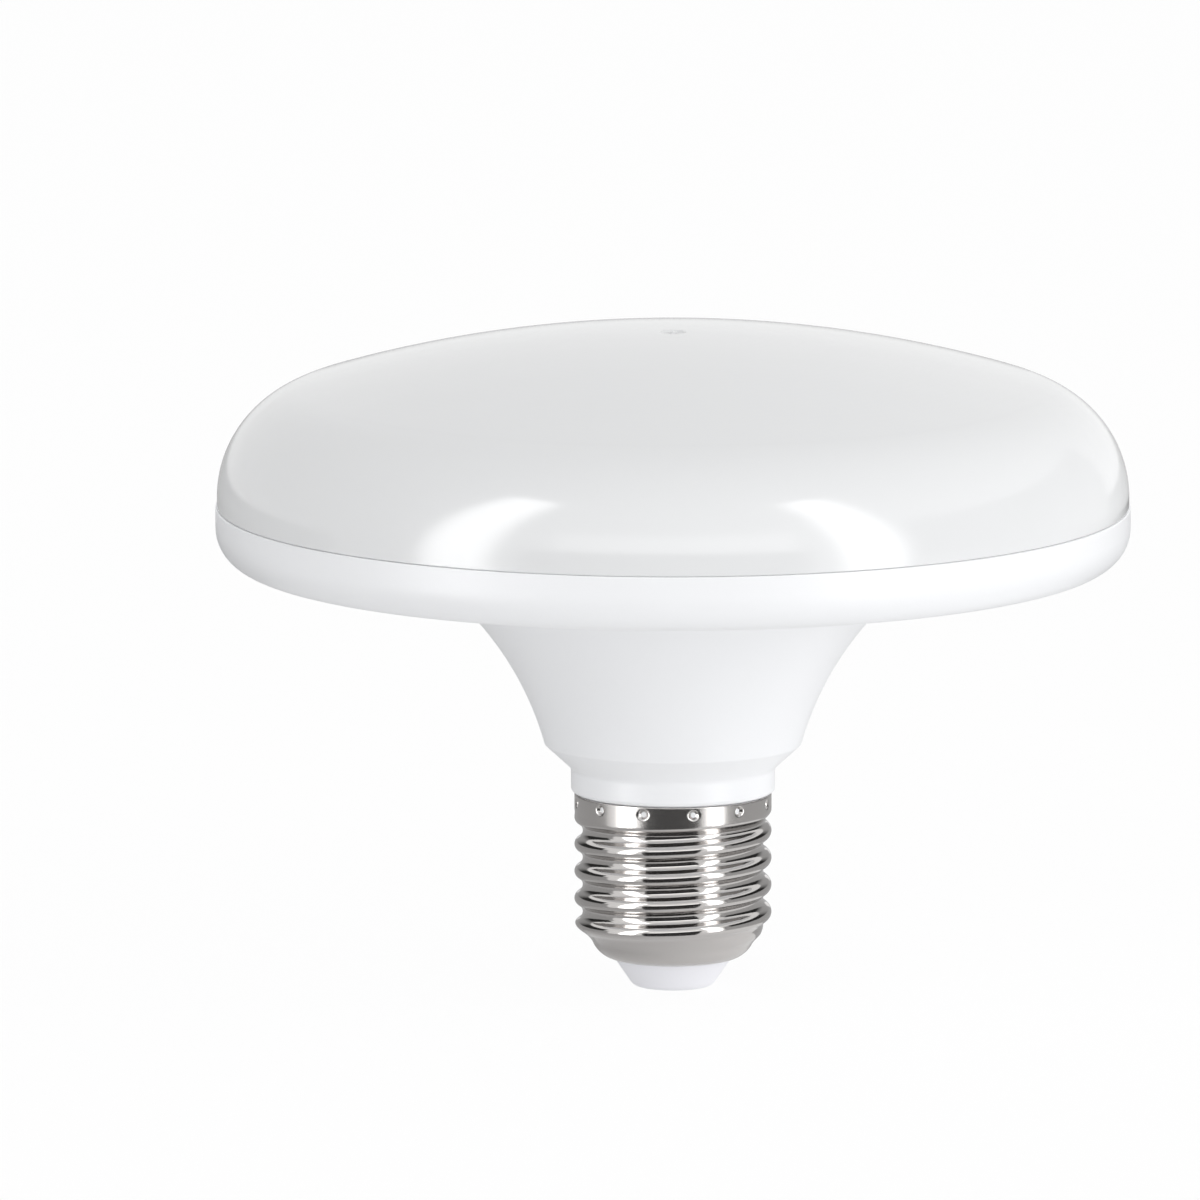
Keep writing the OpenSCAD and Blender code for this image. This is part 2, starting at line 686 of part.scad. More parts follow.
// Pressed aluminium plate with a turned-down edge
module heat_sink() {
    edge_in_r = sink_r - sink_t;
    floor_rise = sink_r > rim_in_r - rim_edge_in_r
        ? rim_edge_in_r - sqrt(pow(rim_edge_in_r, 2) - pow(sink_r - rim_in_r + rim_edge_in_r, 2))
        : 0;
    z_edge = z_floor + floor_rise + fit;
    color("lightgray")
        difference() {
            rotate_extrude()
                polygon(concat(
                    [[wire_hole_d / 2, z_sink],
                     [edge_in_r - (sink_bend_r - sink_t), z_sink]],
                    arc([sink_r - sink_bend_r, z_led_board - sink_bend_r], sink_bend_r - sink_t, 90, 0, 4),
                    [[edge_in_r, z_edge],
                     [sink_r, z_edge]],
                    arc([sink_r - sink_bend_r, z_led_board - sink_bend_r], sink_bend_r, 0, 90, 6),
                    [[wire_hole_d / 2, z_led_board]]));
            on_screw_ring()
                translate([0, 0, z_sink - 1])
                    cylinder(r = screw_hole_r, h = sink_t + 2);
        }
}

// Round aluminium-core board that carries the LEDs
module led_board() {
    color("white")
        difference() {
            translate([0, 0, z_led_board])
                cylinder(r = led_board_r, h = led_board_t);
            translate([0, 0, z_led_board - 1])
                cylinder(d = wire_hole_d, h = led_board_t + 2);
            on_screw_ring()
                translate([0, 0, z_led_board - 1])
                    cylinder(r = screw_hole_r, h = led_board_t + 2);
        }
}

// LED number i, counted round the outer ring and then round the inner ring
module led(i) {
    outer = i <= outer_leds;
    a = outer ? 360 * (i - 1) / outer_leds : 360 * (i - outer_leds - 0.5) / inner_leds;
    window = [led_w * 0.7, led_l * 0.75, led_window_depth * 2];
    color("khaki")
        rotate([0, 0, a])
            translate([outer ? outer_ring_r : inner_ring_r, 0, z_leds])
                difference() {
                    translate([-led_w / 2, -led_l / 2, 0])
                        cube([led_w, led_l, led_h]);
                    translate([-window.x / 2, -window.y / 2, led_h - led_window_depth])
                        cube(window);
                }
}

// Pan-head screws with crossed slots
module board_screws() {
    slot = [screw_head_d * 0.6, 0.7, screw_head_h];
    lap = 0.1;
    color("silver")
        on_screw_ring()
            difference() {
                union() {
                    translate([0, 0, z_leds])
                        cylinder(d = screw_head_d, h = screw_head_h);
                    translate([0, 0, z_leds - screw_l])
                        cylinder(d = screw_d, h = screw_l + lap);
                }
                for (a = [0, 90])
                    translate([0, 0, z_leds + screw_head_h])
                        rotate([0, 0, a])
                            cube(slot, center = true);
            }
}

// Two-way connector that takes the wires from the driver
module led_connector() {
    color("white")
        difference() {
            translate([-connector_w / 2, wire_hole_d / 2 + connector_off, z_leds])
                cube([connector_w, connector_l, connector_h]);
            for (sx = [-1, 1])
                translate([sx * connector_w / 4, wire_hole_d / 2, z_leds + connector_h / 2])
                    rotate([-90, 0, 0])
                        cylinder(r = wire_hole_r, h = connector_off + connector_l - connector_back_t);
        }
}

// T-shaped driver board with a hole for every lead and wire
module driver_board() {
    wide_h = z_driver_top - z_driver_wide;
    low_h = z_driver_wide - z_driver + 0.1;
    color("seagreen")
        difference() {
            union() {
                translate([-driver_w / 2, driver_rear, z_driver_wide])
                    cube([driver_w, driver_t, wide_h]);
                translate([-driver_low_w / 2, driver_rear, z_driver])
                    cube([driver_low_w, driver_t, low_h]);
            }
            for (s = [-1, 1]) {
                lead_hole([s * fuse_pitch / 2, z_fuse]);
                lead_hole(varistor_at + [s * box_pitch / 2, 0]);
                lead_hole(choke_at + [s * radial_pitch / 2, 0]);
                lead_hole(film_at + [0, s * box_pitch / 2]);
                lead_hole(input_cap_at + [s * radial_pitch / 2, 0]);
                lead_hole(output_cap_at + [s * radial_pitch / 2, 0]);
                lead_hole([s * pad_x, z_pad], wire_hole_r);
            }
            for (at = inductor_pins)
                lead_hole(at);
            for (at = led_pads)
                lead_hole(at, wire_hole_r);
        }
}

module lead_hole(at, r = lead_hole_r) {
    translate([at.x, driver_face + 1, at.y])
        rotate([90, 0, 0])
            cylinder(r = r, h = driver_t + 2);
}

// Ferrite frame round the bobbin, with a middle limb through it
module inductor_core() {
    color("dimgray")
        translate([inductor_at.x, driver_face, inductor_at.y]) {
            difference() {
                translate([-inductor_w / 2, core_foot, -core_l / 2])
                    cube([inductor_w, inductor_h - core_foot, core_l]);
                translate([-inductor_w / 2 + core_t, core_foot + core_t, -core_l])
                    cube([inductor_w - 2 * core_t, inductor_h - core_foot - 2 * core_t, 2 * core_l]);
            }
            translate([0, core_foot + core_t / 2, 0])
                rotate([-90, 0, 0])
                    cylinder(d = limb_d, h = inductor_h - core_foot - core_t);
        }
}

// Plastic bobbin: base with four pins, tube and two flanges
module inductor_bobbin() {
    end_l = (inductor_l - core_l) / 2 - fit;
    color("black")
        difference() {
            union() {
                translate([inductor_at.x, driver_face, inductor_at.y]) {
                    for (sz = [-1, 1])
                        translate([-inductor_w / 2, 0, sz > 0 ? core_l / 2 + fit : -inductor_l / 2])
                            cube([inductor_w, bobbin_low + flange_t, end_l]);
                    translate([-flange_d / 2, bobbin_low, -inductor_l / 2])
                        cube([flange_d, flange_t, inductor_l]);
                    translate([0, bobbin_low, 0])
                        rotate([-90, 0, 0])
                            cylinder(d = bobbin_tube_d, h = bobbin_top - bobbin_low);
                    translate([0, bobbin_top - flange_t, 0])
                        rotate([-90, 0, 0])
                            cylinder(d = flange_d, h = flange_t);
                }
                for (at = inductor_pins)
                    lead(at);
            }
            translate([inductor_at.x, driver_face + core_foot, inductor_at.y])
                rotate([-90, 0, 0])
                    cylinder(d = bobbin_bore_d, h = inductor_h);
        }
}

// Copper winding on the bobbin
module inductor_winding() {
    low = bobbin_low + flange_t + fit;
    h = bobbin_top - flange_t - fit - low;
    color("peru")
        translate([inductor_at.x, driver_face + low, inductor_at.y])
            rotate([-90, 0, 0])
                difference() {
                    cylinder(d = winding_d, h = h);
                    translate([0, 0, -h / 2])
                        cylinder(d = bobbin_tube_d + 2 * fit, h = 2 * h);
                }
}

// Aluminium can with a sleeve, a rolled groove near its foot and two leads
module electrolytic(at, d, h) {
    foot_edge = 0.3;
    top_edge = 0.4;
    groove = 0.35;
    z_groove = 1.35;
    on_driver(at)
        rotate_extrude()
            polygon([[0, 0],
                     [d / 2 - foot_edge, 0],
                     [d / 2, foot_edge],
                     [d / 2, z_groove - groove],
                     [d / 2 - groove, z_groove],
                     [d / 2, z_groove + groove],
                     [d / 2, h - top_edge],
                     [d / 2 - top_edge, h],
                     [0, h]]);
    leads(at, radial_pitch);
}

module output_capacitor() {
    color("darkslateblue")
        electrolytic(output_cap_at, output_cap_d, output_cap_h);
}

module input_capacitor() {
    color("black")
        electrolytic(input_cap_at, input_cap_d, input_cap_h);
}

// Moulded box capacitor
module film_capacitor() {
    color("gold") {
        translate([film_at.x - film_t / 2, driver_face, film_at.y - film_l / 2])
            cube([film_t, film_h, film_l]);
        leads(film_at, box_pitch, false);
    }
}

// Coated disc standing on its leads
module varistor() {
    color("royalblue") {
        translate([varistor_at.x,
                   driver_face + varistor_off + varistor_d / 2,
                   varistor_at.y - varistor_t / 2])
            cylinder(d = varistor_d, h = varistor_t);
        leads_up(varistor_at, box_pitch, varistor_d / 2);
    }
}

// Leads that rise from the board to a part standing clear of it
module leads_up(at, pitch, rise) {
    for (s = [-1, 1])
        translate([at.x + s * pitch / 2, driver_face + rise, at.y])
            rotate([90, 0, 0])
                cylinder(d = lead_d, h = rise + driver_t + lead_stub);
}

// Drum choke in a sleeve
module filter_choke() {
    waist = 0.5;
    drum_t = 1;
    color("darkgreen") {
        on_driver(choke_at)
            rotate_extrude()
                polygon([[0, 0],
                         [choke_d / 2, 0],
                         [choke_d / 2, drum_t],
                         [choke_d / 2 - waist, drum_t + waist],
                         [choke_d / 2 - waist, choke_h - drum_t - waist],
                         [choke_d / 2, choke_h - drum_t],
                         [choke_d / 2, choke_h],
                         [0, choke_h]]);
        leads(choke_at, radial_pitch);
    }
}

// Fusible resistor lying across the board on bent leads
module fuse_resistor() {
    y = driver_face + fuse_off + fuse_d / 2;
    color("seagreen")
        translate([0, y, z_fuse]) {
            rotate([0, 90, 0])
                cylinder(d = fuse_d, h = fuse_l, center = true);
            rotate([0, 90, 0])
                cylinder(d = lead_d, h = fuse_pitch, center = true);
            for (s = [-1, 1])
                translate([s * fuse_pitch / 2, 0, 0]) {
                    sphere(d = lead_d);
                    rotate([90, 0, 0])
                        cylinder(d = lead_d, h = y - driver_rear + lead_stub);
                }
        }
}

// Moulded package with rows of leads above and below it, flat on the board's rear face
module rear_package(at, size, leads_per_row, pitch) {
    lap = 0.2;
    translate([at.x, driver_rear, at.y]) {
        translate([-size.x / 2, -size.z, -size.y / 2])
            cube([size.x, size.z, size.y]);
        for (i = [0 : leads_per_row - 1], s = [-1, 1])
            translate([(i - (leads_per_row - 1) / 2) * pitch - gull_lead.x / 2,
                       -size.z / 2,
                       s > 0 ? size.y / 2 - lap : -size.y / 2 - gull_lead.y])
                cube([gull_lead.x, size.z / 2, gull_lead.y + lap]);
    }
}

module bridge_rectifier() {
    color("black")
        rear_package(bridge_at, bridge_size, 2, gull_pitch.y);
}

module driver_ic() {
    color("black")
        rear_package(ic_at, ic_size, 4, gull_pitch.x);
}

// Moulded block with a wrapped terminal at each end
module freewheel_diode() {
    color("black")
        translate([diode_at.x, driver_rear, diode_at.y]) {
            translate([-diode_size.x / 2, -diode_size.z, -diode_size.y / 2])
                cube([diode_size.x, diode_size.z, diode_size.y]);
            for (sx = [-1, 1])
                translate([(sx * diode_size.x - diode_terminal.x) / 2,
                           -diode_terminal.y,
                           -diode_terminal.z / 2])
                    cube(diode_terminal);
        }
}

module sense_resistor(i) {
    color("dimgray")
        translate([chip_at.x - chip_size.x / 2, driver_rear - chip_size.z,
                   chip_at.y - chip_size.y / 2 + (i - 1) * chip_pitch])
            cube([chip_size.x, chip_size.z, chip_size.y]);
}

// Live wire, from the contact's shank through the driver board
module live_wire() {
    x = -pad_x;
    color("brown")
        tube(concat([[0, 0, z_shank_top]], curve([
            [0, 0, z_shank_top + 0.8],
            [x * 0.1, 0.2, z_shank_top + 1.4],
            [x * 0.4, 1, z_shank_top + 2.6],
            [x * 0.8, 1.6, z_pad - 1.6],
            [x, 0.4, z_pad - 0.2],
            [x, driver_face + 0.8, z_pad],
            [x, driver_rear - lead_stub, z_pad]])), wire_d / 2);
}

// Bare neutral wire: through the board, round the spigot's end and up between spigot and shell
module neutral_wire() {
    x = pad_x;
    z_turn = z_spigot - fit - neutral_d / 2;
    color("silver")
        tube(curve([
            [x, driver_rear - lead_stub, z_pad],
            [x, driver_face + 0.8, z_pad],
            [x + 0.3, 0.4, z_pad - 0.5],
            [x + 1, neutral_y, z_pad - 2],
            [spigot_bore_r - 0.9, neutral_y, z_turn + 0.4],
            [spigot_bore_r, neutral_y, z_turn - 0.1],
            [neutral_x - 0.3, neutral_y, z_turn],
            [neutral_x, neutral_y, z_spigot + 0.8],
            [neutral_x, neutral_y, z_spigot + neutral_up]]), neutral_d / 2);
}

// Wire from the driver board's top edge, through the wire hole, into the connector
module led_wire(sx) {
    pad = led_pads[sx > 0 ? 1 : 0];
    x = sx * connector_w / 4;
    mouth = wire_hole_d / 2 + connector_off;
    z_entry = z_leds + connector_h / 2;
    bite = (connector_l + connector_back_t) / 2;
    tube(curve([
        [pad.x, driver_rear - lead_stub, pad.y],
        [pad.x, driver_face + 0.6 * wire_d, pad.y],
        [pad.x, driver_face + 1.8 * wire_d, pad.y + 0.9 * wire_d],
        [(pad.x + x) / 2, 0, (pad.y + z_sink) / 2],
        [x, mouth * 0.15, z_sink - 0.8 * wire_d],
        [x, mouth * 0.4, z_entry - 0.3 * wire_d],
        [x, mouth - connector_off, z_entry],
        [x, mouth + bite, z_entry]]), wire_d / 2);
}

module led_wire_positive() {
    color("firebrick")
        led_wire(1);
}

module led_wire_negative() {
    color("black")
        led_wire(-1);
}

diffuser();
housing();
screw_cap();
cap_insulator();
centre_contact();
heat_sink();
led_board();
board_screws();
led_connector();
driver_board();
inductor_core();
inductor_bobbin();
inductor_winding();
output_capacitor();
input_capacitor();
film_capacitor();
varistor();
filter_choke();
fuse_resistor();
bridge_rectifier();
driver_ic();
freewheel_diode();
for (i = [1 : 3])
    sense_resistor(i);
live_wire();
neutral_wire();
led_wire_positive();
led_wire_negative();
for (i = [1 : led_count])
    led(i);
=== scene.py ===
import math

import bmesh
import bpy
import numpy as np
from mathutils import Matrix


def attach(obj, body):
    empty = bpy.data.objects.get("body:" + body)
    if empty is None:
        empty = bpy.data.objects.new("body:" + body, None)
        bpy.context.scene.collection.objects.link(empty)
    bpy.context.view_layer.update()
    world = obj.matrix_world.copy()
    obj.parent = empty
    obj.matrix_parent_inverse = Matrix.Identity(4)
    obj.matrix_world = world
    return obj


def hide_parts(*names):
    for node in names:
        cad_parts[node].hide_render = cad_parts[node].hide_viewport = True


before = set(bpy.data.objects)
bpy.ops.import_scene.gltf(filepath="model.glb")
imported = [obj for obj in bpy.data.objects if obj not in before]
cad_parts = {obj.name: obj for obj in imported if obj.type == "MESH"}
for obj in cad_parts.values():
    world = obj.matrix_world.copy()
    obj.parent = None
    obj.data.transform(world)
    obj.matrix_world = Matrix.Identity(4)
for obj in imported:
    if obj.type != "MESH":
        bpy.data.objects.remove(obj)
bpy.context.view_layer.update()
MM = 0.001

# Camera
# A long lens far from the lamp, nine degrees above level, as in a catalogue picture.
# The lamp stands a little to the right of the middle of the frame.
lens_mm = 1000
frame_width_mm = 158.7
look_at_mm = np.array([-9.66, 0, 52.03])
look_down = math.radians(9.1)
lens = bpy.data.cameras.new("camera")
lens.lens = lens_mm
lens.clip_start = 0.1
camera = bpy.data.objects.new("camera", lens)
bpy.context.scene.collection.objects.link(camera)
distance_mm = frame_width_mm * lens_mm / lens.sensor_width
toward_camera = np.array([0, -math.cos(look_down), math.sin(look_down)])
camera.location = (look_at_mm + distance_mm * toward_camera) * MM
camera.rotation_euler = (math.pi / 2 - look_down, 0, 0)
bpy.context.scene.camera = camera


# Diffuser
# An opal polycarbonate dome, injection moulded through one gate at its apex and polished.
# Its plug snaps into the rim, and a fine seam shows where its lower edge meets the housing.

def arc(centre, radius, start, end, steps):
    """Points (r, z) of an arc: centre plus radius times the cosine and sine of evenly spaced angles."""
    a = np.radians(np.linspace(start, end, steps + 1))
    return np.stack([centre[0] + radius * np.cos(a), centre[1] + radius * np.sin(a)], axis=1)


def rounded(before, corner, after, radius, steps):
    """Points of a round at a corner: an arc that touches both of the corner's sides."""
    before, corner, after = np.array(before), np.array(corner), np.array(after)
    u = (before - corner) / np.linalg.norm(before - corner)
    v = (after - corner) / np.linalg.norm(after - corner)
    half = math.acos(np.clip(u @ v, -1, 1)) / 2
    middle = (u + v) / np.linalg.norm(u + v)
    centre = corner + middle * radius / math.sin(half)
    first = corner + u * radius / math.tan(half) - centre
    last = corner + v * radius / math.tan(half) - centre
    a0 = math.degrees(math.atan2(first[1], first[0]))
    a1 = math.degrees(math.atan2(last[1], last[0]))
    return arc(centre, radius, a0, a0 + (a1 - a0 + 540) % 360 - 180, steps)


def profile(*parts):
    """One closed line of points from points and arcs in turn.
    A long straight stretch gets two more points close to its ends, so that its shading stays flat."""
    points = np.concatenate([np.atleast_2d(np.array(p, float)) for p in parts])
    step = np.roll(points, -1, axis=0) - points
    length = np.linalg.norm(step, axis=1, keepdims=True)
    hold = np.where(length > 0.6, np.minimum(0.12, length / 4), 0)
    along = step / np.maximum(length, 1e-9) * hold
    lines = np.stack([points, points + along, points + step - along], axis=1)
    keep = np.stack([np.ones(len(points), bool), hold[:, 0] > 0, hold[:, 0] > 0], axis=1)
    return lines[keep]


def turned(points, columns):
    """Grid of points: each (r, z) of the profile stands at every column's angle round the axis."""
    a = np.linspace(0, 2 * np.pi, columns, endpoint=False)
    r, z = points[:, :1], points[:, 1:]
    return np.stack([r * np.cos(a), r * np.sin(a), z + 0 * a], axis=-1)


def skin(name, grids, hard=40):
    """One closed mesh object from grids of points in mm, each a closed profile carried round a ring.
    Points that meet on the axis become one, and an edge sharper than hard degrees is shaded as one."""
    vertices, faces, start = [], [], 0
    for grid in grids:
        i = start + np.arange(grid.shape[0] * grid.shape[1]).reshape(grid.shape[:2])
        j = np.roll(i, -1, axis=0)
        quads = np.stack([i, np.roll(i, -1, axis=1), np.roll(j, -1, axis=1), j], axis=-1)
        faces.append(quads.reshape(-1, 4))
        vertices.append(grid.reshape(-1, 3) * MM)
        start += i.size
    mesh = bpy.data.meshes.new(name)
    mesh.from_pydata(np.concatenate(vertices).tolist(), [], np.concatenate(faces).tolist())
    shell = bmesh.new()
    shell.from_mesh(mesh)
    bmesh.ops.remove_doubles(shell, verts=shell.verts, dist=1e-6)
    bmesh.ops.recalc_face_normals(shell, faces=shell.faces)
    shell.to_mesh(mesh)
    shell.free()
    mesh.polygons.foreach_set("use_smooth", np.ones(len(mesh.polygons), bool))
    mesh.set_sharp_from_angle(angle=math.radians(hard))
    piece = bpy.data.objects.new(name, mesh)
    bpy.context.scene.collection.objects.link(piece)
    return piece


def colour(hex_code):
    """Linear colour of an sRGB hex code: a channel c below 0.04045 becomes c / 12.92,
    and any other ((c + 0.055) / 1.055) ^ 2.4."""
    c = np.array([int(hex_code[k:k + 2], 16) / 255 for k in (1, 3, 5)])
    return (*np.where(c < 0.04045, c / 12.92, ((c + 0.055) / 1.055) ** 2.4), 1.0)


def add(tree, kind, inputs=(), **settings):
    """Adds one node: settings are its own properties, inputs its sockets' values or what they link to."""
    made = tree.nodes.new(kind)
    for name, value in settings.items():
        setattr(made, name, value)
    for name, value in dict(inputs).items():
        if isinstance(value, bpy.types.NodeSocket):
            tree.links.new(value, made.inputs[name])
        else:
            made.inputs[name].default_value = value
    return made


def material(name):
    """New empty node material and its tree."""
    made = bpy.data.materials.new(name)
    made.use_nodes = True
    made.node_tree.nodes.clear()
    return made, made.node_tree


def surface(tree, shader):
    """Sends a shader to the material's output."""
    add(tree, "ShaderNodeOutputMaterial", {"Surface": shader.outputs[0]})


def place(tree):
    """The point on the piece, in metres."""
    return add(tree, "ShaderNodeTexCoord").outputs["Object"]


def grain(tree, scale, detail, strength, depth):
    """Normal of a grained face: noise of the scale, per metre, as a bump of the depth in metres."""
    noise = add(tree, "ShaderNodeTexNoise", {"Vector": place(tree), "Scale": scale, "Detail": detail})
    bump = {"Height": noise.outputs[0], "Strength": strength, "Distance": depth}
    return add(tree, "ShaderNodeBump", bump).outputs[0]


def dress(piece, finish):
    """Gives every face of a piece the one material."""
    piece.data.materials.clear()
    piece.data.materials.append(finish)


z_seam = 64.7
dome_r = 60.3
dome_edge_r = 15
dome_skirt = 1.3
dome_h = 23.2
dome_wall = 1.6
plug_r = 58.55
plug_in_r = 57.35
z_plug = 61.9
plug_bevel = 0.25
z_bead = 63.3
bead_r = 0.3
seam_round = 0.15
edge_centre = np.array([dome_r - dome_edge_r, z_seam + dome_skirt])
rise = dome_h - dome_skirt
crown_r = (edge_centre[0] ** 2 + rise ** 2 - dome_edge_r ** 2) / (2 * (rise - dome_edge_r))
crown_centre = np.array([0, z_seam + dome_h - crown_r])
crown_a = math.degrees(math.atan2(edge_centre[1] - crown_centre[1], edge_centre[0]))

# The gate leaves a cut-off nub in a shallow well, so that nothing stands above the dome
well_r = 1.7
well_depth = 0.28
nub_r = 0.36
nub_h = 0.33
well_a = 90 - math.degrees(well_r * 1.3 / crown_r)
well_x = np.array([1.3, 1.15, 1.05, 1.0, 0.93, 0.84, 0.7, 0.5, 0.36]) * well_r
well_z = -well_depth * np.array([0, 0.01, 0.06, 0.18, 0.5, 0.86, 0.98, 1, 1])
nub_x = np.array([1.35, 1.15, 1.0, 0.96, 0.8, 0.4, 0]) * nub_r
nub_z = -well_depth + nub_h * np.array([0, 0.1, 0.4, 0.8, 0.97, 1, 1])
apex_x = np.concatenate([well_x[1:], nub_x])
apex_z = np.concatenate([well_z[1:], nub_z]) + crown_centre[1] + np.sqrt(crown_r ** 2 - apex_x ** 2)

dome_line = profile(
    [(plug_in_r, z_plug), (plug_r - plug_bevel, z_plug), (plug_r, z_plug + plug_bevel)],
    arc((plug_r, z_bead), bead_r, -90, 90, 8),
    [(plug_r, z_seam)],
    rounded((plug_r, z_seam), (dome_r, z_seam), (dome_r, z_seam + 1), seam_round, 6),
    arc(edge_centre, dome_edge_r, 0, crown_a, 44),
    arc(crown_centre, crown_r, crown_a, well_a, 34)[1:],
    np.stack([apex_x, apex_z], axis=1),
    arc(crown_centre, crown_r - dome_wall, 90, crown_a, 16),
    arc(edge_centre, dome_edge_r - dome_wall, crown_a, 0, 20)[1:],
    [(plug_in_r, z_seam + dome_skirt)],
)
dome_grid = turned(dome_line, 256)

# The dome's lower edge stands a hair above the rim, most of all on the left, where the seam shows wider
edge_lift = 0.02
left_lift = 0.025
left_a = math.radians(201)
lift_h = 1.4
edge_z = dome_grid[..., 2]
edge_r = np.hypot(dome_grid[..., 0], dome_grid[..., 1])
edge_a = np.arctan2(dome_grid[..., 1], dome_grid[..., 0])
lift = edge_lift + left_lift * (0.5 + 0.5 * np.cos(edge_a - left_a)) ** 8
lift = lift * np.clip((z_seam + lift_h - edge_z) / lift_h, 0, 1)
near_seam = (edge_r > plug_r + 0.02) & (edge_z < z_seam + lift_h) & (edge_z > z_seam - 0.1)
dome_grid[..., 2] += np.where(near_seam, lift, 0)
diffuser = skin("opal_diffuser", [dome_grid])

# Opal polycarbonate, moulded against a polished tool: milky, with clear reflections that waver a little
# over waves about 18 mm long, as the moulding shrinks
opal, tree = material("opal_polycarbonate")
surface(tree, add(tree, "ShaderNodeBsdfPrincipled", {
    "Base Color": colour("#E6E7E8"),
    "Roughness": 0.13,
    "IOR": 1.585,
    "Normal": grain(tree, 55, 2, 0.06, 0.0004),
}))
dress(diffuser, opal)
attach(diffuser, "root")
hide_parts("diffuser")

# Housing
# One white moulded body: rim, trumpet-shaped flare, slanted shoulder, collar, and the spigot under
# the screw cap. Its surface is satin, a little rougher than the diffuser's.
rim_r = 60.5
rim_in_r = 58.7
z_under = 56.9
z_floor = 58.7
z_neck = 32.9
z_shoulder = 29.7
z_collar = 26.4
neck_r = 17
collar_r = 13.5
collar_in_r = 11.7
spigot_r = 11.4
spigot_in_r = 9.9
z_spigot = 10.96
seat_r = 12.65
z_band = 24.2
rim_edge_r = 5
collar_edge_r = 0.7
shoulder_foot_r = 1
neck_edge_r = 0.6
flare_blend_r = 2
floor_r = 3.2
groove_r = 0.45
flare_r = 43
flare_in_r = 44.8
flare_centre = np.array([58.44, 21.41])
flare_top_a = 180 - math.degrees(math.asin((z_under - flare_centre[1]) / flare_r))
flare_in_top_a = 180 - math.degrees(math.asin((z_floor - flare_centre[1]) / flare_in_r))
flare_in_foot_a = 180 - math.degrees(math.asin((z_neck + 0.9 - flare_centre[1]) / flare_in_r))
flare_foot_a = 159.5
flare_foot = tuple(arc(flare_centre, flare_r, flare_foot_a, flare_foot_a, 0)[0])
flare_top = [tuple(arc(flare_centre, flare_r, a, a, 0)[0]) for a in (flare_top_a + 4, flare_top_a)]

body_line = profile(
    [(spigot_in_r, z_spigot), (spigot_r, z_spigot), (spigot_r, z_band - seat_r + spigot_r),
     (seat_r, z_band), (seat_r, z_collar)],
    rounded((seat_r, z_collar), (collar_r, z_collar), (collar_r, z_shoulder), collar_edge_r, 8),
    rounded((collar_r, z_collar), (collar_r, z_shoulder), (neck_r, z_neck), shoulder_foot_r, 8),
    rounded((collar_r, z_shoulder), (neck_r, z_neck), flare_foot, neck_edge_r, 8),
    arc(flare_centre, flare_r, flare_foot_a + 4, flare_top_a + 5, 48),
    rounded(flare_top[0], flare_top[1], (rim_r, z_under), flare_blend_r, 10),
    arc((rim_r - rim_edge_r, z_under + rim_edge_r), rim_edge_r, -90, 0, 20),
    rounded((rim_r, z_under + rim_edge_r), (rim_r, z_seam), (rim_in_r, z_seam), seam_round, 6),
    [(rim_in_r, z_seam)],
    arc((rim_in_r - groove_r / 3, z_bead), groove_r, 70, -70, 8),
    arc((rim_in_r - floor_r, z_floor + floor_r), floor_r, 0, -90, 10),
    arc(flare_centre, flare_in_r, flare_in_top_a, flare_in_foot_a, 30),
    [(collar_in_r, z_shoulder + 0.9), (collar_in_r, z_collar + 1), (spigot_in_r, z_collar - 0.8)],
)

# Three bosses carry the heat sink, each with a blind hole for its screw; their feet sink into the floor
boss_r = 2.8
hole_r = 1.25
z_boss = 61
sunk = 0.9
screw_ring_r = 48.05
boss_line = profile(
    [(hole_r, z_floor - sunk), (boss_r, z_floor - sunk), (boss_r, z_boss), (hole_r, z_boss)],
)
boss = turned(boss_line, 32)
boss_a = np.radians(11.25 + 120 * np.arange(3))
boss_at = screw_ring_r * np.stack([np.cos(boss_a), np.sin(boss_a), 0 * boss_a], axis=1)

# Four ribs inside the neck hold the driver board by its edges
rib_foot = 32.8
rib_top = 43.8
rib_in_x = 12.2
rib_wall = 1
rib_z = np.concatenate([[rib_foot] * 2, np.linspace(rib_foot, rib_top, 12), [rib_top] * 2])


def rib(side, y0, y1):
    """Grid of an upright rib: a rectangle at each height, from rib_in_x out to the flare's curve,
    x = the curve's centre less the root of its radius squared less the height above it squared."""
    reach = flare_centre[0] - np.sqrt((flare_r + sunk) ** 2 - (rib_z - flare_centre[1]) ** 2)
    out = np.sqrt(reach ** 2 - max(abs(y0), abs(y1)) ** 2)
    x = np.stack([0 * out + rib_in_x, out, out, 0 * out + rib_in_x], axis=1) * side
    y = np.array([y0, y0, y1, y1]) + 0 * x
    grid = np.stack([x, y, rib_z[:, None] + 0 * x], axis=-1)
    grid[[0, -1]] = grid[[0, -1]].mean(axis=1, keepdims=True)
    return grid


ribs = [rib(side, y0, y0 + rib_wall) for side in (-1, 1) for y0 in (-2.3, -4.7)]
housing = skin("moulded_housing", [turned(body_line, 256), *(boss + at for at in boss_at), *ribs])

# White filled plastic from a fine-sparked tool: satin, with a faint grain of half a millimetre
white_plastic, tree = material("moulded_white_plastic")
surface(tree, add(tree, "ShaderNodeBsdfPrincipled", {
    "Base Color": colour("#F1F2F4"),
    "Roughness": 0.36,
    "IOR": 1.5,
    "Normal": grain(tree, 2200, 2, 0.12, 0.00005),
}))
dress(housing, white_plastic)
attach(housing, "root")
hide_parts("housing")

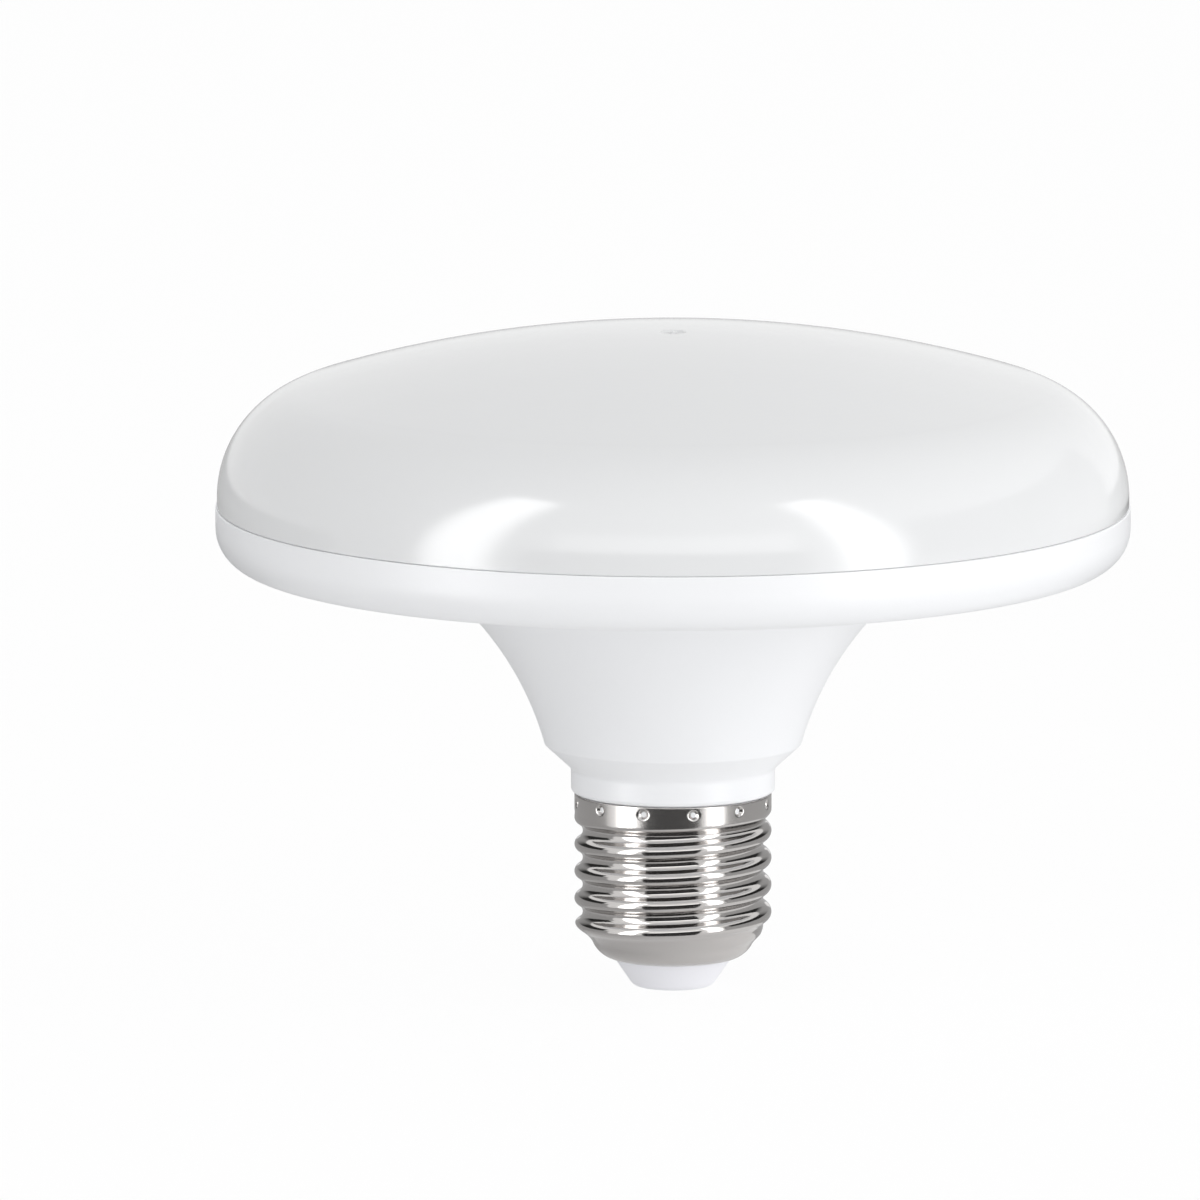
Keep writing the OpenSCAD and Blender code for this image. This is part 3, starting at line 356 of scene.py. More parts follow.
# Screw cap
# A shell of thin nickel-plated sheet, deep drawn, with the thread rolled into it.
# Twelve punched dents crimp its plain band onto the housing.
cap_r = 13.05
cap_wall = 0.3
z_lip = 4.2
z_cap_top = 26.3
pitch = 3.629
crest_z0 = 21.2
base_r = 10.9
z_root = 6.3
root_run = 2.2
root_rise = 1.05
crest_run = 3
crest_rise = 2.15
z_run_out = 22.2
out_run = 2
out_rise = 1.1
z_band_foot = 23.6
end_r = 3.5
end_centre = np.array([7.4, 7.66])
lip_r = 7.9
lip_a = -math.degrees(math.acos((lip_r - end_centre[0]) / end_r))
z_end = 6.1
end_a = math.degrees(math.asin((z_end - end_centre[1]) / end_r))
dents = 12
dent_a0 = -167.9
dent_z = 25.25
dent_r = 0.78
dent_depth = 0.45


def smooth(t):
    """Step from 0 to 1: 3 t squared less 2 t cubed, with t held between 0 and 1."""
    t = np.clip(t, 0, 1)
    return t * t * (3 - 2 * t)


def thread_wave(turn):
    """Height of the rolled wave, 0 at the root and 1 at the crest: over a pitch, crest and root
    are arcs of one radius, and they meet a quarter of a pitch from both."""
    r, q = 1.025, pitch / 4
    x = np.abs((turn + 0.5) % 1 - 0.5) * pitch
    depth = 2 * (r - math.sqrt(r * r - q * q))
    near = r - np.sqrt(r * r - np.minimum(x, q) ** 2)
    far = depth - (r - np.sqrt(r * r - np.minimum(np.abs(pitch / 2 - x), q) ** 2))
    return 1 - np.where(x <= q, near, far) / depth


def shell_radius(z, a):
    """Outer radius of the shell above its rounded end: the wave between a root line and a crest line.
    Both lines start from the end's round, which is base_r at the height of its centre and less below it."""
    drop = np.minimum(z - end_centre[1], 0)
    start = base_r - end_r + np.sqrt(end_r ** 2 - drop ** 2)
    root = start + root_rise * smooth((z - z_root) / root_run)
    root = root + out_rise * smooth((z - z_run_out) / out_run)
    crest = np.maximum(root, start + crest_rise * smooth((z - z_end) / crest_run))
    return root + (crest - root) * thread_wave((z - crest_z0) / pitch - a / (2 * np.pi))


def dent(z, a):
    """Depth of the crimp dents: a smooth step in 1.5 (1 - q), with q the distance from the middle
    of the nearest dent over the dent's radius."""
    sector = 2 * np.pi / dents
    off = ((a - math.radians(dent_a0)) / sector + 0.5) % 1 - 0.5
    q = np.minimum(np.hypot(off * sector * cap_r, z - dent_z) / dent_r, 1)
    return dent_depth * smooth(1.5 * (1 - q))


# Columns stand closer together at the dents, and rows at the band
u = np.arange(28) / 28 - 0.5
sector_a = (u + 0.6 * np.sin(2 * np.pi * (u + 0.5)) / (2 * np.pi)) * 2 * np.pi / dents
shell_a = (math.radians(dent_a0) + 2 * np.pi / dents * np.arange(dents)[:, None] + sector_a).reshape(-1)
thread_z = np.linspace(z_end, z_band_foot, 104)
band_z = np.linspace(z_band_foot + 0.1, z_cap_top - 0.14, 28)
inner_z = np.linspace(z_cap_top - 0.1, z_end, 74)
end_out = arc(end_centre, end_r, lip_a, end_a, 12)
end_in = arc(end_centre, end_r - cap_wall, end_a, lip_a, 10)
top_edge = arc((cap_r - cap_wall / 2, z_cap_top - cap_wall / 2), cap_wall / 2, 0, 180, 8)


def shell_rows(z, wall):
    """Rows of points (x, y, z) of the shell at each height and column, wall mm inside its outer face."""
    r = shell_radius(z[:, None], shell_a) - dent(z[:, None], shell_a) - wall
    return np.stack([r * np.cos(shell_a), r * np.sin(shell_a), z[:, None] + 0 * r], axis=-1)


def round_rows(points):
    """Rows of plain rings from (r, z) points at the shell's columns."""
    r, z = points[:, :1], points[:, 1:]
    return np.stack([r * np.cos(shell_a), r * np.sin(shell_a), z + 0 * shell_a], axis=-1)


cap_grid = np.concatenate([
    round_rows(end_out[:-1]),
    shell_rows(np.concatenate([thread_z, band_z]), 0),
    round_rows(top_edge[1:-1]),
    shell_rows(inner_z, cap_wall),
    round_rows(end_in[1:]),
])
screw_cap = skin("threaded_shell", [cap_grid], hard=60)

# Bright nickel on drawn sheet: a warm grey mirror on the rolled thread, softened by faint draw marks,
# and duller on the plain band and on the end, which the rolls don't polish
nickel, tree = material("bright_nickel_plate")
marks = add(tree, "ShaderNodeMapping", {"Vector": place(tree), "Scale": (220, 220, 2600)})
drawn = add(tree, "ShaderNodeTexNoise", {"Vector": marks.outputs[0], "Scale": 1, "Detail": 3})
ripple = add(tree, "ShaderNodeBump", {"Height": drawn.outputs[0], "Strength": 0.12, "Distance": 0.00005})
height = add(tree, "ShaderNodeSeparateXYZ", {0: place(tree)}).outputs["Z"]
band = {"From Min": z_run_out * MM, "From Max": z_band_foot * MM, "To Max": 0.21}
end = {"From Min": (z_end + 1.1) * MM, "From Max": (z_end + 0.1) * MM, "To Max": 0.26}
duller = [add(tree, "ShaderNodeMapRange", {"Value": height, "To Min": 0.1, **part}).outputs[0]
          for part in (band, end)]
sheen = add(tree, "ShaderNodeMath", {0: duller[0], 1: duller[1]}, operation="MAXIMUM")
surface(tree, add(tree, "ShaderNodeBsdfPrincipled", {
    "Base Color": colour("#C9C6C4"),
    "Metallic": 1,
    "Roughness": sheen.outputs[0],
    "Normal": ripple.outputs[0],
}))
dress(screw_cap, nickel)
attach(screw_cap, "root")
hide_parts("screw_cap")

# Cap insulator
# A white moulded cone that closes the shell's end and holds the contact in its middle.
# Its shoulder lies against the inside of the shell's rounded end.
tip_r = 5.2
tip_round = 1.5
z_tip = 0.4
cone_r = 7.8
shoulder_r = 3.1
z_cone_top = 7.2
nail_hole_r = 1.05
head_seat_r = 2.9
z_head_seat = 0.85
shoulder_a = -math.degrees(math.acos((cone_r - end_centre[0]) / shoulder_r))
cone_top_a = math.degrees(math.asin((z_cone_top - end_centre[1]) / shoulder_r))
insulator_line = profile(
    [(head_seat_r, z_tip)],
    rounded((head_seat_r, z_tip), (tip_r, z_tip), (cone_r, z_lip), tip_round, 14),
    [(cone_r, z_lip)],
    arc(end_centre, shoulder_r, shoulder_a, cone_top_a, 12),
    [(nail_hole_r, z_cone_top), (nail_hole_r, z_head_seat), (head_seat_r, z_head_seat)],
)
insulator = skin("insulator_cone", [turned(insulator_line, 128)])

# White glass-filled plastic: matt and slightly bluish, with a faint grain
insulator_white, tree = material("moulded_insulator_plastic")
surface(tree, add(tree, "ShaderNodeBsdfPrincipled", {
    "Base Color": colour("#E9E9EE"),
    "Roughness": 0.45,
    "IOR": 1.5,
    "Normal": grain(tree, 1500, 2, 0.15, 0.00005),
}))
dress(insulator, insulator_white)
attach(insulator, "root")
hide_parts("cap_insulator")

# Centre contact
# A nail-shaped contact with a low domed head, pushed up through the insulator from below.
# It is nickel-plated brass, upset from wire, and scuffed a little by handling.
head_r = 2.8
shank_r = 1
z_nail_top = 7.6
contact_line = profile(
    [(0, 0), (0.8, 0.004), (1.4, 0.02), (1.9, 0.06), (2.3, 0.13), (2.6, 0.24), (2.76, 0.36), (head_r, 0.5)],
    [(head_r, z_head_seat), (shank_r, z_head_seat), (shank_r, z_nail_top - 0.1)],
    [(shank_r - 0.1, z_nail_top), (0, z_nail_top)],
)
contact = skin("contact_nail", [turned(contact_line, 96)])

# Nickel over brass: a yellowish metal, brighter where it is less scuffed
contact_metal, tree = material("nickel_plated_brass")
scuffs = add(tree, "ShaderNodeTexNoise", {"Vector": place(tree), "Scale": 900, "Detail": 4})
worn = add(tree, "ShaderNodeMapRange", {"Value": scuffs.outputs[0], "To Min": 0.18, "To Max": 0.34})
surface(tree, add(tree, "ShaderNodeBsdfPrincipled", {
    "Base Color": colour("#C9C2B4"),
    "Metallic": 1,
    "Roughness": worn.outputs[0],
}))
dress(contact, contact_metal)
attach(contact, "root")
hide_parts("centre_contact")

# Heat sink
# A plate of aluminium sheet with a turned-down edge, screwed down on the housing's bosses.
# Rolling leaves fine lines along the sheet, which streak its dull shine.

def finish_node(node, finish):
    """Gives a CAD node the one material."""
    for holder in bpy.data.objects[node].material_slots:
        holder.material = finish


def axes(tree):
    """The point's X, Y and Z on the piece, in metres."""
    return add(tree, "ShaderNodeSeparateXYZ", {0: place(tree)}).outputs


def within(tree, value, low, high, edge=0.04):
    """Mask, 1 where a length lies between low and high mm and 0 elsewhere, with a soft edge."""
    off = add(tree, "ShaderNodeMath", {0: value, 1: (low + high) / 2 * MM}, operation="SUBTRACT")
    away = add(tree, "ShaderNodeMath", {0: off.outputs[0]}, operation="ABSOLUTE")
    ends = {"From Min": ((high - low) + edge) / 2 * MM, "From Max": ((high - low) - edge) / 2 * MM}
    return add(tree, "ShaderNodeMapRange", {"Value": away.outputs[0], **ends}).outputs[0]


sheet, tree = material("pressed_aluminium_sheet")
drawn = add(tree, "ShaderNodeMapping", {"Vector": place(tree), "Scale": (60, 2600, 600)}).outputs[0]
rolled = add(tree, "ShaderNodeTexNoise", {"Vector": drawn, "Scale": 1, "Detail": 4}).outputs[0]
sheen = add(tree, "ShaderNodeMapRange", {"Value": rolled, "To Min": 0.26, "To Max": 0.44})
lines = add(tree, "ShaderNodeBump", {"Height": rolled, "Strength": 0.2, "Distance": 0.00003})
surface(tree, add(tree, "ShaderNodeBsdfPrincipled", {
    "Base Color": colour("#CACCCE"),
    "Metallic": 1,
    "Roughness": sheen.outputs[0],
    "Normal": lines.outputs[0],
}))
finish_node("heat_sink", sheet)

# LED board
# An aluminium-core board under white solder mask, which leaves the core bare at the edge.
# The copper areas show through as slightly raised fields, parted by narrow gaps along the middle
# of each ring of LEDs, round both rings and between neighbours.
outer_ring_r = 41.05
inner_ring_r = 22
gap_rings = (inner_ring_r, outer_ring_r, (inner_ring_r + outer_ring_r) / 2, outer_ring_r + 8.5)
gap_half = 0.2
board_foot = 61
core_top = 62.92
outer_pitch = 2 * math.pi / 16
board_white, tree = material("white_solder_mask")
x, y, z = axes(tree)
flat = add(tree, "ShaderNodeCombineXYZ", {"X": x, "Y": y})
r = add(tree, "ShaderNodeVectorMath", {0: flat.outputs[0]}, operation="LENGTH").outputs["Value"]
turn = add(tree, "ShaderNodeMath", {0: y, 1: x}, operation="ARCTAN2")
share = add(tree, "ShaderNodeMath", {0: turn.outputs[0], 1: 1 / outer_pitch}, operation="MULTIPLY")
part = add(tree, "ShaderNodeMath", {0: share.outputs[0]}, operation="FRACT")
middle = add(tree, "ShaderNodeMath", {0: part.outputs[0], 1: 0.5}, operation="SUBTRACT")
bend = add(tree, "ShaderNodeMath", {0: middle.outputs[0], 1: outer_pitch}, operation="MULTIPLY")
off_line = add(tree, "ShaderNodeMath", {0: bend.outputs[0], 1: r}, operation="MULTIPLY")
gaps = within(tree, off_line.outputs[0], -gap_half, gap_half)
for ring_r in gap_rings:
    ring = within(tree, r, ring_r - gap_half, ring_r + gap_half)
    gaps = add(tree, "ShaderNodeMath", {0: gaps, 1: ring}, operation="MAXIMUM").outputs[0]
steps = add(tree, "ShaderNodeBump", {"Height": gaps, "Strength": 0.6, "Distance": 0.00003}, invert=True)

# A Mix node for colours takes its mask at socket 0 and the colours at 6 and 7, and gives the mix at 2
mask_white = add(tree, "ShaderNodeMix", {0: gaps, 6: colour("#EFEFEB"), 7: colour("#DFE0DA")},
                 data_type="RGBA")
mask = add(tree, "ShaderNodeBsdfPrincipled", {
    "Base Color": mask_white.outputs[2],
    "Roughness": 0.3,
    "Normal": steps.outputs[0],
})
core_metal = {"Base Color": colour("#BFC1C3"), "Metallic": 1, "Roughness": 0.36}
core = add(tree, "ShaderNodeBsdfPrincipled", core_metal)
bare = within(tree, z, board_foot, core_top)
surface(tree, add(tree, "ShaderNodeMixShader", {0: bare, 1: mask.outputs[0], 2: core.outputs[0]}))
finish_node("led_board", board_white)

# LEDs
# White moulded packages, soldered to the board in two rings.
# The floor of each window is yellow phosphor in clear silicone, glossier than the moulding round it.
led_top = 63.7
window_depth = 0.12
window_floor = led_top - window_depth
led_finish, tree = material("led_package")
z = axes(tree)["Z"]
phosphor = within(tree, z, window_floor - 0.03, window_floor + 0.03)
cloud = add(tree, "ShaderNodeTexNoise", {"Vector": place(tree), "Scale": 3000, "Detail": 2}).outputs[0]
yellow = add(tree, "ShaderNodeMix", {0: cloud, 6: colour("#F3CE3E"), 7: colour("#E5AE26")},
             data_type="RGBA")
two = add(tree, "ShaderNodeMix", {0: phosphor, 6: colour("#F1F0EA"), 7: yellow.outputs[2]},
          data_type="RGBA")
shine = add(tree, "ShaderNodeMapRange", {"Value": phosphor, "To Min": 0.42, "To Max": 0.12})
surface(tree, add(tree, "ShaderNodeBsdfPrincipled", {
    "Base Color": two.outputs[2],
    "Roughness": shine.outputs[0],
    "IOR": 1.5,
}))
for number in range(1, 25):
    finish_node(f"led_{number}", led_finish)

# Board screws
# Three self-tapping steel screws, through board and heat sink into the bosses.
# They are zinc plated and passivated: bluish, a little cloudy.
zinc, tree = material("zinc_plated_steel")
cloud = add(tree, "ShaderNodeTexNoise", {"Vector": place(tree), "Scale": 1400, "Detail": 3}).outputs[0]
tint = add(tree, "ShaderNodeMix", {0: cloud, 6: colour("#BCC3CC"), 7: colour("#A9AEB4")}, data_type="RGBA")
dull = add(tree, "ShaderNodeMapRange", {"Value": cloud, "To Min": 0.2, "To Max": 0.38})
surface(tree, add(tree, "ShaderNodeBsdfPrincipled", {
    "Base Color": tint.outputs[2],
    "Metallic": 1,
    "Roughness": dull.outputs[0],
}))
finish_node("board_screws", zinc)

# LED connector
# A two-way wire connector, soldered to the LED board between the rings.
# Its shell is moulded nylon, slightly yellow and translucent, with the grain of its tool.
nylon, tree = material("white_nylon")
surface(tree, add(tree, "ShaderNodeBsdfPrincipled", {
    "Base Color": colour("#EBE8DC"),
    "Roughness": 0.44,
    "Subsurface Weight": 0.2,
    "Subsurface Scale": 0.0008,
    "Normal": grain(tree, 2500, 2, 0.25, 0.00004),
}))
finish_node("led_connector", nylon)

# Driver board
# A glass and epoxy board that slides in between the ribs, under green mask.
# The mask is lighter over the copper areas, and the cut edges show the bare laminate.
board_face_y = -2.4
board_rear_y = -3.6
copper_area = 3.2
green_mask, tree = material("green_circuit_board")
y = axes(tree)["Y"]
cells = {"Vector": place(tree), "Scale": 1 / (copper_area * MM)}
areas = add(tree, "ShaderNodeTexVoronoi", cells, distance="CHEBYCHEV")
pick = add(tree, "ShaderNodeSeparateColor", {0: areas.outputs["Color"]}).outputs[0]
copper = add(tree, "ShaderNodeMapRange", {"Value": pick, "From Min": 0.48, "From Max": 0.52})
green = add(tree, "ShaderNodeMix", {0: copper.outputs[0], 6: colour("#1E6236"), 7: colour("#2B7A42")},
            data_type="RGBA")
steps = add(tree, "ShaderNodeBump", {"Height": copper.outputs[0], "Strength": 0.5, "Distance": 0.000035})
mask = add(tree, "ShaderNodeBsdfPrincipled", {
    "Base Color": green.outputs[2],
    "Roughness": 0.24,
    "Normal": steps.outputs[0],
})
laminate = add(tree, "ShaderNodeBsdfPrincipled", {"Base Color": colour("#B8AE74"), "Roughness": 0.7})
cut = within(tree, y, board_rear_y + 0.04, board_face_y - 0.04)
surface(tree, add(tree, "ShaderNodeMixShader", {0: cut, 1: mask.outputs[0], 2: laminate.outputs[0]}))
finish_node("driver_board", green_mask)

# Inductor core
# Pressed and sintered ferrite that closes round the bobbin.
# It is dark grey, dull and slightly gritty.
ferrite, tree = material("sintered_ferrite")
grit = add(tree, "ShaderNodeTexNoise", {"Vector": place(tree), "Scale": 3500, "Detail": 4}).outputs[0]
grey = add(tree, "ShaderNodeMix", {0: grit, 6: colour("#2E2E31"), 7: colour("#47474A")}, data_type="RGBA")
gritty = add(tree, "ShaderNodeBump", {"Height": grit, "Strength": 0.4, "Distance": 0.00004})
surface(tree, add(tree, "ShaderNodeBsdfPrincipled", {
    "Base Color": grey.outputs[2],
    "Roughness": 0.62,
    "Normal": gritty.outputs[0],
}))
finish_node("inductor_core", ferrite)

# Inductor bobbin
# A black phenolic moulding that carries the winding.
# Its four tinned pins are soldered through the board.

def soldered(tree, body, lead):
    """Surface of a part: its body's shader, and bright tinned wire where the mask lead is 1."""
    tin = {"Base Color": colour("#C8CACC"), "Metallic": 1, "Roughness": 0.27}
    tinned = add(tree, "ShaderNodeBsdfPrincipled", tin)
    surface(tree, add(tree, "ShaderNodeMixShader", {0: lead, 1: body.outputs[0], 2: tinned.outputs[0]}))


# A length in mm past the end of every piece, for masks that are open on one side
far = 100
phenolic, tree = material("black_phenolic")
lead = within(tree, axes(tree)["Y"], -far, board_face_y)
flow = add(tree, "ShaderNodeTexNoise", {"Vector": place(tree), "Scale": 700, "Detail": 3}).outputs[0]
dull = add(tree, "ShaderNodeMapRange", {"Value": flow, "To Min": 0.3, "To Max": 0.5})
black = {"Base Color": colour("#19191B"), "Roughness": dull.outputs[0]}
soldered(tree, add(tree, "ShaderNodeBsdfPrincipled", black), lead)
finish_node("inductor_bobbin", phenolic)

# Inductor winding
# Enamelled copper wire in close turns on the bobbin.
# The wire is drawn a little coarser than the real 0.2 mm, to show.
wire_pitch = 0.3
enamelled, tree = material("enamelled_copper")
bands = {"Vector": place(tree), "Scale": 2 * math.pi / (20 * wire_pitch * MM)}
turn_relief_and_shade = add(tree, "ShaderNodeTexWave", bands, bands_direction="Y").outputs[1]
# Each turn's colour runs from dark copper low between the turns to bright copper on its crown: painted
# shade in the grooves and a painted highlight on each round of wire
copper = add(tree, "ShaderNodeMix", {0: turn_relief_and_shade, 6: colour("#6E2F14"), 7: colour("#C8713A")},
             data_type="RGBA")
wound = add(tree, "ShaderNodeBump", {"Height": turn_relief_and_shade, "Strength": 0.8, "Distance": 0.0001})
surface(tree, add(tree, "ShaderNodeBsdfPrincipled", {
    "Base Color": copper.outputs[2],
    "Metallic": 1,
    "Roughness": 0.25,
    "Coat Weight": 0.5,
    "Coat Roughness": 0.1,
    "Normal": wound.outputs[0],
}))
finish_node("inductor_winding", enamelled)

# Output and input capacitors
# Aluminium cans in a shrunk plastic sleeve with a pale stripe at the minus lead.
# The sleeve leaves the can's top bare, which is scored with a cross so that it can vent.
sleeve_lap = 0.8
score_half = 0.09


def electrolytic_sleeve(name, at, d, h, sleeve, stripe):
    """Material of a can that stands on the driver board at (x, z) mm, with its diameter and height."""
    made, tree = material(name)
    top_y = board_face_y + h
    centre = (at[0] * MM, 0, at[1] * MM)
    from_axis = add(tree, "ShaderNodeVectorMath", {0: place(tree), 1: centre}, operation="SUBTRACT")
    x, y, z = add(tree, "ShaderNodeSeparateXYZ", {0: from_axis.outputs[0]}).outputs
    flat = add(tree, "ShaderNodeCombineXYZ", {"X": x, "Z": z})
    r = add(tree, "ShaderNodeVectorMath", {0: flat.outputs[0]}, operation="LENGTH").outputs["Value"]
    end = within(tree, y, top_y - 0.1, top_y + 0.1)
    inner = within(tree, r, -far, d / 2 - sleeve_lap)
    bare = add(tree, "ShaderNodeMath", {0: end, 1: inner}, operation="MULTIPLY").outputs[0]
    cross_x = within(tree, x, -score_half, score_half)
    cross_z = within(tree, z, -score_half, score_half)
    cross = add(tree, "ShaderNodeMath", {0: cross_x, 1: cross_z}, operation="MAXIMUM").outputs[0]
    cut = {"Height": cross, "Strength": 0.8, "Distance": 0.0001}
    scored = add(tree, "ShaderNodeBump", cut, invert=True)
    can = add(tree, "ShaderNodeBsdfPrincipled", {
        "Base Color": colour("#CFD1D3"),
        "Metallic": 1,
        "Roughness": 0.3,
        "Normal": scored.outputs[0],
    })
    side = within(tree, x, d / 4, d)
    band = within(tree, z, -d / 7, d / 7)
    pale = add(tree, "ShaderNodeMath", {0: side, 1: band}, operation="MULTIPLY").outputs[0]
    paint = add(tree, "ShaderNodeMix", {0: pale, 6: colour(sleeve), 7: colour(stripe)}, data_type="RGBA")
    film = add(tree, "ShaderNodeBsdfPrincipled", {"Base Color": paint.outputs[2], "Roughness": 0.26})
    body = add(tree, "ShaderNodeMixShader", {0: bare, 1: film.outputs[0], 2: can.outputs[0]})
    soldered(tree, body, within(tree, y, -far, board_face_y))
    return made


finish_node("output_capacitor",
            electrolytic_sleeve("output_capacitor_sleeve", (6.9, 39.1), 9, 11, "#23233A", "#A9AAB6"))
finish_node("input_capacitor",
            electrolytic_sleeve("input_capacitor_sleeve", (2.5, 29.32), 8, 9, "#1B1B1E", "#B9B9B9"))

# Film capacitor
# A yellow moulded box filled with epoxy, with two tinned leads through the board.
# The box has the fine grain of its tool.
box_yellow, tree = material("yellow_moulded_box")
lead = within(tree, axes(tree)["Y"], -far, board_face_y)
body = add(tree, "ShaderNodeBsdfPrincipled", {
    "Base Color": colour("#E3B02C"),
    "Roughness": 0.38,
    "Normal": grain(tree, 2500, 2, 0.2, 0.00004),
})
soldered(tree, body, lead)
finish_node("film_capacitor", box_yellow)

# Varistor
# A sintered disc dipped in blue epoxy, which sets uneven and glossy.
# Its tinned leads hold it a little clear of the board.
disc_foot_y = -2.1
blue_dip, tree = material("blue_dipped_epoxy")
lead = within(tree, axes(tree)["Y"], -far, disc_foot_y)
drip = add(tree, "ShaderNodeTexNoise", {"Vector": place(tree), "Scale": 450, "Detail": 2}).outputs[0]
blue = add(tree, "ShaderNodeMix", {0: drip, 6: colour("#173F7E"), 7: colour("#2A62AC")}, data_type="RGBA")
uneven = add(tree, "ShaderNodeBump", {"Height": drip, "Strength": 0.5, "Distance": 0.0003})
body = add(tree, "ShaderNodeBsdfPrincipled", {
    "Base Color": blue.outputs[2],
    "Roughness": 0.3,
    "Normal": uneven.outputs[0],
})
soldered(tree, body, lead)
finish_node("varistor", blue_dip)

# Filter choke
# A drum of ferrite wound with wire, under a green sleeve shrunk on with heat.
# The sleeve wrinkles a little along the drum.
green_tube, tree = material("green_shrink_sleeve")
lead = within(tree, axes(tree)["Y"], -far, board_face_y)
folded = add(tree, "ShaderNodeMapping", {"Vector": place(tree), "Scale": (900, 150, 900)})
folds = add(tree, "ShaderNodeTexNoise", {"Vector": folded.outputs[0], "Scale": 1, "Detail": 2}).outputs[0]
wrinkled = add(tree, "ShaderNodeBump", {"Height": folds, "Strength": 0.5, "Distance": 0.0002})
body = add(tree, "ShaderNodeBsdfPrincipled", {
    "Base Color": colour("#1D5A35"),
    "Roughness": 0.33,
    "Normal": wrinkled.outputs[0],
})
soldered(tree, body, lead)
finish_node("filter_choke", green_tube)

# Fuse resistor
# A fusible resistor on bent tinned leads, dipped in matt green lacquer.
# Four painted rings give its value.
fuse_half = 3.25
ring_half = 0.22
rings = ((-2.1, "#5A2E17"), (-1.2, "#1C1A1A"), (-0.3, "#1C1A1A"), (1.7, "#B58A2E"))


def beyond(tree, value, low, high):
    """Mask, 0 where a length lies between low and high mm and 1 elsewhere: 1 less within."""
    between = within(tree, value, low, high)
    return add(tree, "ShaderNodeMath", {0: 1.0, 1: between}, operation="SUBTRACT").outputs[0]


lacquer, tree = material("resistor_lacquer")
x, y, z = axes(tree)
paint = colour("#5E9478")
for ring_x, ring_hex in rings:
    ring = within(tree, x, ring_x - ring_half, ring_x + ring_half)
    painted = add(tree, "ShaderNodeMix", {0: ring, 6: paint, 7: colour(ring_hex)}, data_type="RGBA")
    paint = painted.outputs[2]
body = add(tree, "ShaderNodeBsdfPrincipled", {"Base Color": paint, "Roughness": 0.5})
soldered(tree, body, beyond(tree, x, -fuse_half - 0.02, fuse_half + 0.02))
finish_node("fuse_resistor", lacquer)

# Bridge rectifier, driver chip and diode
# Black moulded epoxy packages, soldered flat on the board's rear face by the tinned leads at their ends.
# Their tool leaves them matt.

def moulded_package(name, axis, low, high):
    """Material of a package: black epoxy between two places in mm on the axis, tinned lead beyond."""
    made, tree = material(name)
    body = add(tree, "ShaderNodeBsdfPrincipled", {
        "Base Color": colour("#1E1E20"),
        "Roughness": 0.55,
        "Normal": grain(tree, 4000, 3, 0.4, 0.00003),
    })
    soldered(tree, body, beyond(tree, axes(tree)[axis], low, high))
    return made


finish_node("bridge_rectifier", moulded_package("bridge_epoxy", "Z", 42.14, 46.06))
finish_node("driver_ic", moulded_package("driver_chip_epoxy", "Z", 39.54, 43.46))
finish_node("freewheel_diode", moulded_package("diode_epoxy", "X", -7.06, -2.74))

# Sense resistors
# Ceramic chips, soldered flat on the board's rear face.
# Each has a black glaze on top and a tinned cap at each end.
chip_x = 2.7
chip_half = 1.6
cap_l = 0.45
glaze_y = -4.16
chip, tree = material("chip_resistor_ceramic")
x, y, z = axes(tree)
glaze = within(tree, y, -far, glaze_y)
two = add(tree, "ShaderNodeMix", {0: glaze, 6: colour("#E4E2DA"), 7: colour("#17171A")}, data_type="RGBA")
body = add(tree, "ShaderNodeBsdfPrincipled", {"Base Color": two.outputs[2], "Roughness": 0.3})
soldered(tree, body, beyond(tree, x, chip_x - chip_half + cap_l, chip_x + chip_half - cap_l))
for number in range(1, 4):
    finish_node(f"sense_resistor_{number}", chip)

# Live, positive and negative wires
# Stranded wires in smooth plastic insulation.
# They are stripped and tinned where they pass through the driver board, the live wire at the contact too.
strip_y = -2
strip_z = 8.8


def insulation(name, hex_code):
    """Material of an insulated wire: coloured plastic, tinned behind strip_y and below strip_z."""
    made, tree = material(name)
    x, y, z = axes(tree)
    board_end = within(tree, y, -far, strip_y)
    contact_end = within(tree, z, -far, strip_z)
    lead = add(tree, "ShaderNodeMath", {0: board_end, 1: contact_end}, operation="MAXIMUM").outputs[0]
    body = add(tree, "ShaderNodeBsdfPrincipled", {"Base Color": colour(hex_code), "Roughness": 0.34})
    soldered(tree, body, lead)
    return made


finish_node("live_wire", insulation("brown_insulation", "#5A331C"))
finish_node("led_wire_positive", insulation("red_insulation", "#B4211D"))
finish_node("led_wire_negative", insulation("black_insulation", "#19191B"))

# Neutral wire
# Bare tinned copper, clamped between the housing's spigot and the shell.
# Handling has dulled it a little.
tinned_wire, tree = material("tinned_copper")
cloud = add(tree, "ShaderNodeTexNoise", {"Vector": place(tree), "Scale": 1200, "Detail": 3}).outputs[0]
dull = add(tree, "ShaderNodeMapRange", {"Value": cloud, "To Min": 0.2, "To Max": 0.36})
surface(tree, add(tree, "ShaderNodeBsdfPrincipled", {
    "Base Color": colour("#CBCAC6"),
    "Metallic": 1,
    "Roughness": dull.outputs[0],
}))
finish_node("neutral_wire", tinned_wire)

# Studio
# Two tall soft boxes stand in front of the lamp, right and left, over a translucent white table.
# The white air lights plain surfaces a little more from below and from the right, and the camera,
# gloss and glass see it as plain white.
low_light = 0.83
high_light = 0.69
side_light = 0.39
studio = bpy.data.worlds.new("studio")
bpy.context.scene.world = studio
studio.use_nodes = True
studio.node_tree.nodes.clear()
tree = studio.node_tree
path = add(tree, "ShaderNodeLightPath")
seen = path.outputs["Is Camera Ray"]
for ray in ("Is Glossy Ray", "Is Transmission Ray"):
    seen = add(tree, "ShaderNodeMath", {0: seen, 1: path.outputs[ray]}, operation="MAXIMUM").outputs[0]
way = add(tree, "ShaderNodeSeparateXYZ", {0: add(tree, "ShaderNodeTexCoord").outputs["Generated"]})
upright = {"Value": way.outputs["Z"], "From Min": -1, "To Min": low_light, "To Max": high_light}
